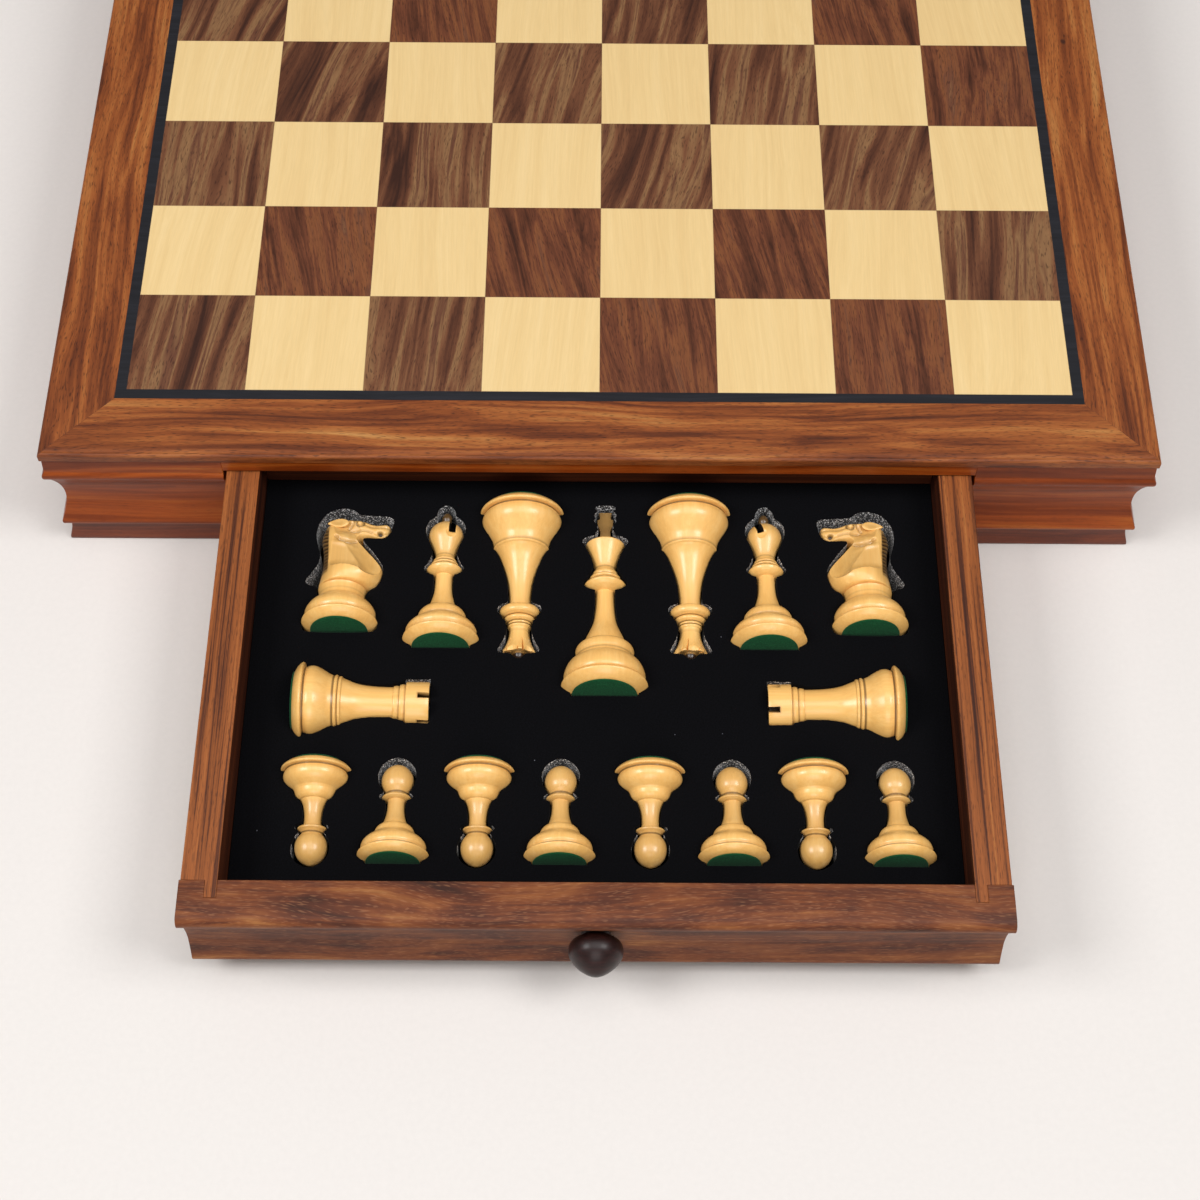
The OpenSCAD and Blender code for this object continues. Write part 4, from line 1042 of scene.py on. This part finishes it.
# Side view of the knight's pocket, from the man's axis and underside
KNIGHT_POCKET = [
    (14.0, -0.5), (17.9, 3.2), (18.1, 5.4), (17.0, 8.0), (16.6, 10.8), (14.8, 14.0), (12.1, 16.4), (11.7, 19.5),
    (13.2, 22.0),
    (16.4, 24.2), (18.4, 28.6), (19.0, 33.8), (16.9, 38.4), (12.6, 44.4), (9.4, 48.4), (8.4, 50.2),
    (10.0, 51.0), (15.4, 50.8),
    (18.8, 51.2), (21.2, 53.6), (22.2, 57.2), (22.7, 60.4), (21.0, 62.8), (13.6, 63.6), (6.4, 64.2),
    (3.2, 66.6), (-1.0, 67.6),
    (-6.2, 66.6), (-10.6, 63.6), (-13.4, 58.4), (-14.2, 52.6), (-13.0, 46.6), (-11.6, 41.0), (-12.6, 36.0),
    (-15.6, 30.6),
    (-17.6, 27.2), (-16.0, 24.8), (-12.6, 23.6), (-11.7, 19.5), (-12.1, 16.4), (-14.8, 14.0), (-16.6, 10.8),
    (-17.0, 8.0),
    (-18.1, 5.4), (-17.9, 3.2), (-14.0, -0.5)]
# Gap between each kind of man and its pocket, as (height on the man, gap)
POCKET_GAPS = {
    "king": [(0, 0.15), (55, 0.3), (62, 0.5), (76, 0.4), (82, 1.0), (84, 2.0), (88, 1.2), (102, 1.6)],
    "queen": [(0, 0.15), (52, 0.5), (57, 0.8), (66, 0.8), (76, 1.3), (80, 1.3), (84, 0.6)],
    "bishop": [(0, 0.15), (38, 0.5), (43, 0.9), (50, 1.2), (58, 0.6), (62, 0.8), (67, 1.9), (70, 2.3),
               (77, 1.4)],
    "rook": [(0, 0.15), (45, 0.4), (63, 0.6)],
    "pawn": [(0, 0.15), (28, 0.5), (32, 0.9), (37, 0.7), (41, 1.2), (45, 1.9), (49, 2.3)]}
# Heights on the man between which the cut pile beside it shows painted glints
GREY = {"king": [(83, 110)], "queen": [(53, 57.5), (72, 90)], "bishop": [(43, 50), (60, 85)],
        "rook": [(52, 70)],
        "pawn": [(31, 36), (40, 60)], "knight": [(23, 90)]}
HEADS = {"king": 0.5, "queen": 0.5, "bishop": 0.5, "knight": 0.66, "rook": 0.59, "pawn": 0.5}


def pocket_outline(kind, facing):
    """Outline of a pocket from above: the man's widest outline grown by the gap at each height."""
    r, h, _ = MEN[kind]
    if kind == "knight":
        ring = np.array(KNIGHT_POCKET) * (facing, 1)
        return outline_through(ring if facing > 0 else ring[::-1], 260)
    side = turned(kind)
    if kind == "rook":
        side = np.vstack([side, [(10.85, 63)]])
    if kind == "king":
        side = np.vstack([side[side[:, 1] < 87], [(3.3, 88), (2.8, 91), (4.0, 94.4), (4.0, 97.6), (3.3, 101.7),
                                                  (0, 102)]])
    gap = np.interp(side[:, 1], *np.array(POCKET_GAPS[kind]).T)
    y = np.linspace(-0.3, h + gap[-1] - 0.05, 220)
    reach = gap[None, :] ** 2 - (y[:, None] - side[None, :, 1]) ** 2
    width = np.where(reach > 0, side[None, :, 0] + np.sqrt(np.maximum(reach, 0)), 0).max(1)
    width[y < 1] = np.maximum(width[y < 1], 0.78 * r)
    keep = width > 0
    width, y = width[keep], y[keep]
    return np.vstack([np.stack([width, y], -1), np.stack([-width, y], -1)[::-1]])


def evenly(ring, step):
    """The same ring with points at even steps along it."""
    closed = np.vstack([ring, ring[:1]])
    far = np.concatenate([[0], np.cumsum(np.hypot(*np.diff(closed, axis=0).T))])
    want = np.linspace(0, far[-1], max(int(far[-1] / step), 12), endpoint=False)
    return np.stack([np.interp(want, far, closed[:, k]) for k in (0, 1)], -1)


def grown(ring, amount):
    """Each point of a ring moved out along the normal of its neighbours' chord."""
    chord = np.roll(ring, -1, 0) - np.roll(ring, 1, 0)
    normal = np.stack([chord[:, 1], -chord[:, 0]], -1) / np.hypot(*chord.T)[:, None]
    x, y = ring.T
    outward = np.sign(np.sum(x * np.roll(y, -1) - np.roll(x, -1) * y))
    return ring + amount * outward * normal


def set_lining(bay):
    """Velvet over foam: a slab whose top turns over a soft lip into each pocket; the pocket's floor steps
    down under the base."""
    skin = Skin()
    low, high = np.array([-BAY + 0.4, INSIDE_Y + 0.4]), np.array([BAY - 0.4, BACK_Y - 0.4])
    rings = []
    for kind, _, x, y, heading, facing in PIECES + PAWNS:
        r, h, _ = MEN[kind]
        local = evenly(pocket_outline(kind, facing), 0.9)
        turn = spin("Z", heading)[:2, :2]
        lip = [(0.5, 0.0), (0.24, 0.06), (0.07, 0.25), (0.0, 0.6)]
        rows = [np.column_stack([grown(local, out) @ turn.T + (x, INSIDE_Y + y),
                                 np.full(len(local), LINING_Z - down)])
                for out, down in lip]
        well = AXIS_Z - r - 0.3
        trough = max(AXIS_Z - HEADS[kind] * r - h * math.sin(math.radians(TIP)) - 0.5, well)
        share = np.clip((local[:, 1] - 1.30 * r) / (0.16 * r), 0, 1)
        floor_z = well + (trough - well) * share
        base = rows[-1][:, :2]
        rings.append(rows[0])
        skin.grid(np.array(rows))
        rows = rows[-1:]
        for t in (0.35, 0.7, 1.0):
            rows.append(np.column_stack([base, LINING_Z - 0.6 + (floor_z - LINING_Z + 0.6) * t]))
        # beside those heights the wall takes the pile with painted glints
        grey = np.zeros(len(local), int)
        for first, last in GREY[kind]:
            grey |= ((local[:, 1] > first) & (local[:, 1] < last)).astype(int)
        skin.grid(np.array(rows), mark=np.tile(grey, len(rows) - 1))
        # floor: the outline folded onto the pocket's middle line
        spine = np.column_stack([np.zeros(len(local)), local[:, 1]]) @ turn.T + (x, INSIDE_Y + y)
        skin.grid(np.array([rows[-1], np.column_stack([(base + spine) / 2, floor_z]),
                            np.column_stack([spine, floor_z])]))
    frame_ring = np.array([low, (high[0], low[1]), high, (low[0], high[1])])
    flat = [frame_ring] + [ring[:, :2] for ring in rings]
    starts = np.cumsum([0] + [len(ring) for ring in flat])
    edges = [(int(a + k), int(a + (k + 1) % (b - a)))
             for a, b in zip(starts[:-1], starts[1:]) for k in range(b - a)]
    points, _, faces, *_ = delaunay_2d_cdt([tuple(p) for p in np.vstack(flat)], edges, [], 0, 1e-5)
    points = np.array([tuple(p) for p in points])
    middles = np.array([points[list(face)].mean(0) for face in faces])
    keep = np.ones(len(faces), bool)
    for ring in flat[1:]:
        near = np.flatnonzero(np.all((middles > ring.min(0)) & (middles < ring.max(0)), axis=1))
        a, b = ring, np.roll(ring, -1, 0)
        mx, my = middles[near, 0][:, None], middles[near, 1][:, None]
        meets_at = (b[:, 0] - a[:, 0]) * (my - a[:, 1]) / (b[:, 1] - a[:, 1] + 1e-12) + a[:, 0]
        crosses = ((a[:, 1] > my) != (b[:, 1] > my)) & (mx < meets_at)
        keep[near[crosses.sum(1) % 2 == 1]] = False
    skin.raw(np.column_stack([points, np.full(len(points), LINING_Z)]),
             [list(face) for face, on in zip(faces, keep) if on])
    box = np.array([np.column_stack([frame_ring, np.full(4, z)]) for z in (LINING_Z, PANEL_Z)])
    skin.grid(box)
    skin.raw(box[1], [[3, 2, 1, 0]])
    obj = piece("lining_" + bay, skin, [made(velvet), made(pile_with_glints)], bay + "_drawer", [bay + "_insert"],
                BAYS[bay], crease=50)
    return obj


# ---------------------------------------------------------------- drawers

def set_drawer_front(bay):
    """The moulded front of a drawer, with a slot behind it for each side's tongue."""
    plain, cut = face_profile(False), face_profile(True)
    slot_out = BAY + TONGUE_T
    rows = []
    for a, b, profile in ((-FACE_HALF, -slot_out, plain), (-slot_out, -BAY, cut), (-BAY, BAY, plain),
                          (BAY, slot_out, cut), (slot_out, FACE_HALF, plain)):
        rows.append(run(profile, a, b, 12 if b - a > 20 else 1))
    skin = Skin().grid(np.vstack(rows), caps=True)
    return piece(bay + "_drawer_moulding", skin, [made(front_rosewood)], bay + "_drawer",
                 [bay + "_drawer_face"], BAYS[bay], eased(),
                 300.0 if bay == "front" else 900.0)


def set_drawer_boards(bay):
    """Two sides, each with a tongue at its front end, and the back between them."""
    drawer = bay + "_drawer"
    # inner faces take the darker copy of the wood: painted shade inside the drawer
    finishes = [made(side_rosewood), made(inner_rosewood_in_shade)]
    inside_marks = [0, 0, 0, 1] * 4 + [0, 0]
    for side in (-1, 1):
        hand = "left" if (side < 0) == (bay == "front") else "right"
        inner, outer, tongue = side * BAY, side * (BAY + SIDE_T), side * (BAY + TONGUE_T)
        rows = []
        for y, edge in ((TAIL_Y, outer), ((TAIL_Y + INSIDE_Y) / 2, outer), (INSIDE_Y, outer),
                        (INSIDE_Y, tongue),
                        (INSIDE_Y - TONGUE_L, tongue)):
            rows.append([(inner, y, PANEL_Z), (edge, y, PANEL_Z), (edge, y, DRAWER_TOP),
                         (inner, y, DRAWER_TOP)])
        board = Skin().grid(np.array(rows), caps=True, mark=inside_marks)
        piece("%s_side_%s" % (drawer, hand), board, finishes, drawer, ["%s_%s" % (drawer, hand)], BAYS[bay],
              BOARD_EDGE, 1300.0 + 170 * side, "Y")
    board = beam((-BAY + 0.05, BACK_Y, PANEL_Z), (BAY - 0.05, BACK_Y + BACK_T, DRAWER_TOP), 4)
    piece(drawer + "_back_board", Skin().grid(board, caps=True, mark=inside_marks), finishes, drawer,
          [drawer + "_back"], BAYS[bay], BOARD_EDGE, 2100.0)
    paint(drawer + "_bottom", plywood)


def set_knob(bay):
    """A turned knob: a short neck and an acorn that comes to a blunt point."""
    profile = np.vstack([[(0, -1.0), (6.5, -1.0), (6.5, 0.6)], stroke([(6.5, 0.6), (6.1, 1.6), (6.6, 2.6)], 6),
                         stroke([(6.6, 2.6), (9.6, 3.4), (11.5, 5.6), (12.0, 8.4), (11.3, 11.6), (9.0, 14.8),
                                 (5.8, 17.5), (2.6, 19.2),
                                 (0, 19.7)], 34)])
    place = BAYS[bay] @ shift(0, KNOB_Y, KNOB_Z) @ spin("X", 90)
    piece(bay + "_drawer_turned_knob", Skin().grid(lathe(profile)), [made(dark_rosewood)], bay + "_drawer",
          [bay + "_drawer_knob"],
          place, 0.0, 60.0, "X")
    paint(bay + "_drawer_screw", screw_steel)


# ---------------------------------------------------------------- settings

class ChessBoxMoulding(bpy.types.PropertyGroup):
    """Sizes of the woodwork that a user may change."""
    edge: bpy.props.FloatProperty(name="Eased edge",
                                  description="Radius of the eased edges of walls, plinth and drawers",
                                  default=0.00025, min=0.0, max=0.001, unit="LENGTH", subtype="DISTANCE",
                                  precision=5)
    frame_edge: bpy.props.FloatProperty(name="Frame edge",
                                        description="Radius of the eased edges of the frame rails",
                                        default=0.00012, min=0.0, max=0.001, unit="LENGTH", subtype="DISTANCE",
                                        precision=5)


class ChessBoxColours(bpy.types.PropertyGroup):
    """The main tone of the finishes that a user may change."""
    rosewood: bpy.props.FloatVectorProperty(name="Rosewood", description="Middle tone of the frame rails",
                                            default=linear("#85461F")[:3], size=3, subtype="COLOR", min=0,
                                            max=1)
    boxwood: bpy.props.FloatVectorProperty(name="Boxwood", description="Middle tone of the pale men",
                                           default=linear("#F3BD6C")[:3], size=3, subtype="COLOR", min=0, max=1)
    felt: bpy.props.FloatVectorProperty(name="Felt", description="Middle tone of the pads under the men",
                                        default=linear("#12492A")[:3], size=3, subtype="COLOR", min=0, max=1)
    velvet: bpy.props.FloatVectorProperty(name="Velvet", description="Lighter tone of the lining",
                                          default=linear("#0A0A0E")[:3], size=3, subtype="COLOR", min=0, max=1)


class ChessBoxStage(bpy.types.PropertyGroup):
    """Camera, lamps and floor that a user may change."""
    lens: bpy.props.FloatProperty(name="Lens", description="Focal length on a 36 mm wide sensor", default=60.89,
                                  min=20, max=200, unit="CAMERA")
    camera_at: bpy.props.FloatVectorProperty(name="Camera", description="Place of the camera",
                                             default=(0.0007, -0.7949, 0.8795), size=3, unit="LENGTH",
                                             subtype="TRANSLATION")
    pitch: bpy.props.FloatProperty(name="Pitch", description="Tilt of the camera below level",
                                   default=math.radians(60.643), unit="ROTATION", subtype="ANGLE")
    yaw: bpy.props.FloatProperty(name="Yaw", description="Turn of the camera to the right",
                                 default=math.radians(0.017), unit="ROTATION", subtype="ANGLE")
    roll: bpy.props.FloatProperty(name="Roll", description="Turn of the camera about its own axis",
                                  default=math.radians(0.380), unit="ROTATION", subtype="ANGLE")
    floor: bpy.props.FloatVectorProperty(name="Floor", description="Colour of the floor",
                                         default=linear("#DED9D5")[:3], size=3, subtype="COLOR", min=0, max=1)
    lamp: bpy.props.FloatProperty(name="Lamp power", description="Power of each side lamp", default=20.6, min=0,
                                  max=500, unit="POWER")
    sky: bpy.props.FloatProperty(name="Room light", description="Strength of the light from all round",
                                 default=0.22, min=0, max=2)


# ---------------------------------------------------------------- operators

class SetFrame(bpy.types.Operator):
    """Lays the four mitred frame rails round the board"""
    bl_idname = "object.chess_box_frame"
    bl_label = "Frame rails"
    bl_options = {"REGISTER", "UNDO"}

    def execute(self, context):
        for quarter, hand in enumerate(("front", "right", "back", "left")):
            moulded("frame_rail_" + hand, FRAME, -mitre(FRAME), mitre(FRAME), quarter, frame_rosewood,
                    "top_frame_" + hand,
                    410.0 + 777 * quarter, "frame_edge")
        return {"FINISHED"}


class SetBoard(bpy.types.Operator):
    """Finishes the squares, the strip round them and the boards below"""
    bl_idname = "object.chess_box_board"
    bl_label = "Board"
    bl_options = {"REGISTER", "UNDO"}

    def execute(self, context):
        for node, make in (("light_squares", maple_veneer), ("dark_squares", walnut_veneer),
                           ("inlay_strips", ebonised_strip),
                           ("board_core", plywood), ("top_deck", plywood), ("base_panel", plywood),
                           ("centre_divider", plywood),
                           ("drawer_guides", plywood), ("drawer_runners", plywood)):
            paint(node, make)
        return {"FINISHED"}


class SetCase(bpy.types.Operator):
    """Builds the moulded walls, the cheeks beside each drawer and the rail over it"""
    bl_idname = "object.chess_box_case"
    bl_label = "Case walls"
    bl_options = {"REGISTER", "UNDO"}

    def execute(self, context):
        ends = mitre(WALL)
        for quarter, hand in ((1, "right"), (3, "left")):
            moulded("wall_" + hand, WALL, -ends, ends, quarter, case_rosewood, "case_" + hand,
                    150.0 * quarter)
        for quarter, side, left, right in ((0, "front", "left", "right"), (2, "back", "right", "left")):
            for hand, start, stop in ((left, -ends, -OPENING + 0 * ends), (right, OPENING + 0 * ends, ends)):
                moulded("%s_cheek_wall_%s" % (side, hand), WALL, start, stop, quarter, case_rosewood,
                        "%s_cheek_%s" % (side, hand), 530.0 + 90 * quarter + 40 * len(hand))
            moulded(side + "_opening_rail", RAIL, np.full(4, -OPENING), np.full(4, OPENING), quarter,
                    case_rosewood, side + "_rail",
                    530.0 + 90 * quarter)
        return {"FINISHED"}


class SetPlinth(bpy.types.Operator):
    """Builds the four mitred lengths of the plinth"""
    bl_idname = "object.chess_box_plinth"
    bl_label = "Plinth"
    bl_options = {"REGISTER", "UNDO"}

    def execute(self, context):
        ends = mitre(PLINTH_PROFILE)
        for quarter, hand in enumerate(("front", "right", "back", "left")):
            moulded("plinth_rail_" + hand, PLINTH_PROFILE, -ends, ends, quarter, plinth_rosewood,
                    "plinth_" + hand,
                    60.0 * quarter)
        return {"FINISHED"}


class SetDrawerFronts(bpy.types.Operator):
    """Builds both moulded drawer fronts"""
    bl_idname = "object.chess_box_drawer_fronts"
    bl_label = "Drawer fronts"
    bl_options = {"REGISTER", "UNDO"}

    def execute(self, context):
        for bay in BAYS:
            set_drawer_front(bay)
        return {"FINISHED"}


class SetDrawerBoards(bpy.types.Operator):
    """Builds the sides and backs of both drawers, and finishes their bottoms"""
    bl_idname = "object.chess_box_drawer_boards"
    bl_label = "Drawer boards"
    bl_options = {"REGISTER", "UNDO"}

    def execute(self, context):
        for bay in BAYS:
            set_drawer_boards(bay)
        return {"FINISHED"}


class SetKnobs(bpy.types.Operator):
    """Turns both knobs and finishes their screws"""
    bl_idname = "object.chess_box_knobs"
    bl_label = "Knobs"
    bl_options = {"REGISTER", "UNDO"}

    def execute(self, context):
        for bay in BAYS:
            set_knob(bay)
        return {"FINISHED"}


class SetLinings(bpy.types.Operator):
    """Cuts the pockets and lays the velvet in both drawers"""
    bl_idname = "object.chess_box_linings"
    bl_label = "Linings"
    bl_options = {"REGISTER", "UNDO"}

    def execute(self, context):
        for bay in BAYS:
            set_lining(bay)
        return {"FINISHED"}


class SetKings(bpy.types.Operator):
    """Turns the kings and their crosses"""
    bl_idname = "object.chess_box_kings"
    bl_label = "Kings"
    bl_options = {"REGISTER", "UNDO"}

    def execute(self, context):
        set_men("king")
        return {"FINISHED"}


class SetQueens(bpy.types.Operator):
    """Turns the queens and files the facets of their coronets"""
    bl_idname = "object.chess_box_queens"
    bl_label = "Queens"
    bl_options = {"REGISTER", "UNDO"}

    def execute(self, context):
        set_men("queen")
        return {"FINISHED"}


class SetBishops(bpy.types.Operator):
    """Turns the bishops and cuts their mitres"""
    bl_idname = "object.chess_box_bishops"
    bl_label = "Bishops"
    bl_options = {"REGISTER", "UNDO"}

    def execute(self, context):
        set_men("bishop")
        return {"FINISHED"}


class SetKnights(bpy.types.Operator):
    """Turns and carves the knights"""
    bl_idname = "object.chess_box_knights"
    bl_label = "Knights"
    bl_options = {"REGISTER", "UNDO"}

    def execute(self, context):
        set_men("knight")
        return {"FINISHED"}


class SetRooks(bpy.types.Operator):
    """Turns the rooks and cuts their crowns"""
    bl_idname = "object.chess_box_rooks"
    bl_label = "Rooks"
    bl_options = {"REGISTER", "UNDO"}

    def execute(self, context):
        set_men("rook")
        return {"FINISHED"}


class SetPawns(bpy.types.Operator):
    """Turns the pawns"""
    bl_idname = "object.chess_box_pawns"
    bl_label = "Pawns"
    bl_options = {"REGISTER", "UNDO"}

    def execute(self, context):
        set_men("pawn")
        return {"FINISHED"}


# Each lamp: name, place, what it points at, the side of its square panel, and its share of the lamp power
LAMPS = (("lamp_left", (-1.3, -0.6, 1.65), (0, -0.2, 0), 0.8, 0.97),
         ("lamp_right", (1.1, -0.6, 1.75), (0, -0.2, 0), 0.8, 0.88),
         ("lamp_over", (0, -0.55, 2.1), (0, -0.15, 0), 1.3, 0.62),
         ("lamp_front", (0, -2.1, 1.15), (0, -0.3, 0), 1.2, 0.5))
FLOOR_REACH = 6.0


class SetStage(bpy.types.Operator):
    """Lays the floor, hangs the lamps and places the camera"""
    bl_idname = "object.chess_box_stage"
    bl_label = "Stage"
    bl_options = {"REGISTER", "UNDO"}

    def execute(self, context):
        scene = context.scene
        stage = scene.chess_box_stage
        scene.view_settings.view_transform = "Standard"
        floor_finish, tree, shader = surface("Matt cotton backdrop", Roughness=0.95, IOR=1.3,
                                             Specular_IOR_Level=0.1)
        weave = put(tree, "TexNoise", {"Vector": spot_of(tree, "X"), "Scale": 0.35, "Detail": 5.0,
                                       "Roughness": 0.6})
        shade = put(tree, "MapRange", {"Value": weave, "From Min": 0.3, "From Max": 0.7, "To Min": 0.985,
                                       "To Max": 1.015})
        tree.links.new(put(tree, "HueSaturation", {"Color": tuple(stage.floor) + (1.0,), "Value": shade}),
                       shader.inputs["Base Color"])
        mesh = bpy.data.meshes.new("floor")
        corners = [(x * FLOOR_REACH, y * FLOOR_REACH, 0) for x, y in ((-1, -1), (1, -1), (1, 1), (-1, 1))]
        mesh.from_pydata(corners, [], [(0, 1, 2, 3)])
        mesh.materials.append(floor_finish)
        floor = bpy.data.objects.new("floor", mesh)
        scene.collection.objects.link(floor)

        for name, place, aim, size, power in LAMPS:
            lamp = bpy.data.lights.new(name, "AREA")
            lamp.shape, lamp.size, lamp.energy = "SQUARE", size, stage.lamp * power
            holder = bpy.data.objects.new(name, lamp)
            scene.collection.objects.link(holder)
            look = Matrix.Identity(4)
            toward = (Matrix.Translation(place).translation - Matrix.Translation(aim).translation).normalized()
            side = Matrix.Translation((0, 1, 0.001)).translation.cross(toward).normalized()
            look.col[0][:3], look.col[1][:3], look.col[2][:3] = side, toward.cross(side), toward
            look.col[3][:3] = place
            holder.matrix_world = look

        world = bpy.data.worlds.new("Room")
        world.use_nodes = True
        scene.world = world
        back = world.node_tree.nodes["Background"]
        back.inputs["Color"].default_value = linear("#F4F3F2")
        back.inputs["Strength"].default_value = stage.sky

        camera = bpy.data.cameras.new("camera")
        camera.lens, camera.sensor_width, camera.sensor_fit = stage.lens, 36.0, "HORIZONTAL"
        camera.clip_start, camera.clip_end = 0.01, 50.0
        viewer = bpy.data.objects.new("camera", camera)
        scene.collection.objects.link(viewer)
        yaw, pitch, roll = stage.yaw, stage.pitch, stage.roll
        ahead = np.array([math.sin(yaw) * math.cos(pitch), math.cos(yaw) * math.cos(pitch), -math.sin(pitch)])
        right = np.cross(ahead, (0, 0, 1.0))
        right /= np.linalg.norm(right)
        up = np.cross(right, ahead)
        right, up = math.cos(roll) * right + math.sin(roll) * up, math.cos(roll) * up - math.sin(roll) * right
        pose = Matrix.Identity(4)
        for column, vector in enumerate((right, up, -ahead, np.array(stage.camera_at))):
            pose.col[column][:3] = vector
        viewer.matrix_world = pose
        scene.camera = viewer
        return {"FINISHED"}


STEPS = (SetFrame, SetBoard, SetCase, SetPlinth, SetDrawerFronts, SetDrawerBoards, SetKnobs, SetLinings,
         SetKings, SetQueens,
         SetBishops, SetKnights, SetRooks, SetPawns, SetStage)


class ChessBoxPanel(bpy.types.Panel):
    """Lists the steps of the chess box"""
    bl_idname = "VIEW3D_PT_chess_box"
    bl_label = "Chess Box"
    bl_space_type = "VIEW_3D"
    bl_region_type = "UI"
    bl_category = "Chess Box"

    def draw(self, context):
        for step in STEPS:
            self.layout.operator(step.bl_idname)
        for group in (context.scene.chess_box_moulding, context.scene.chess_box_colours,
                      context.scene.chess_box_stage):
            for name in group.__annotations__:
                self.layout.prop(group, name)


CLASSES = (ChessBoxMoulding, ChessBoxColours, ChessBoxStage) + STEPS + (ChessBoxPanel,)


def register():
    for each in CLASSES:
        bpy.utils.register_class(each)
    bpy.types.Scene.chess_box_moulding = bpy.props.PointerProperty(type=ChessBoxMoulding)
    bpy.types.Scene.chess_box_colours = bpy.props.PointerProperty(type=ChessBoxColours)
    bpy.types.Scene.chess_box_stage = bpy.props.PointerProperty(type=ChessBoxStage)


def unregister():
    del bpy.types.Scene.chess_box_stage
    del bpy.types.Scene.chess_box_colours
    del bpy.types.Scene.chess_box_moulding
    for each in reversed(CLASSES):
        bpy.utils.unregister_class(each)


def main():
    """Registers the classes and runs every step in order."""
    register()
    for step in STEPS:
        group, name = step.bl_idname.split(".")
        getattr(getattr(bpy.ops, group), name)()


if __name__ == "__main__":
    main()
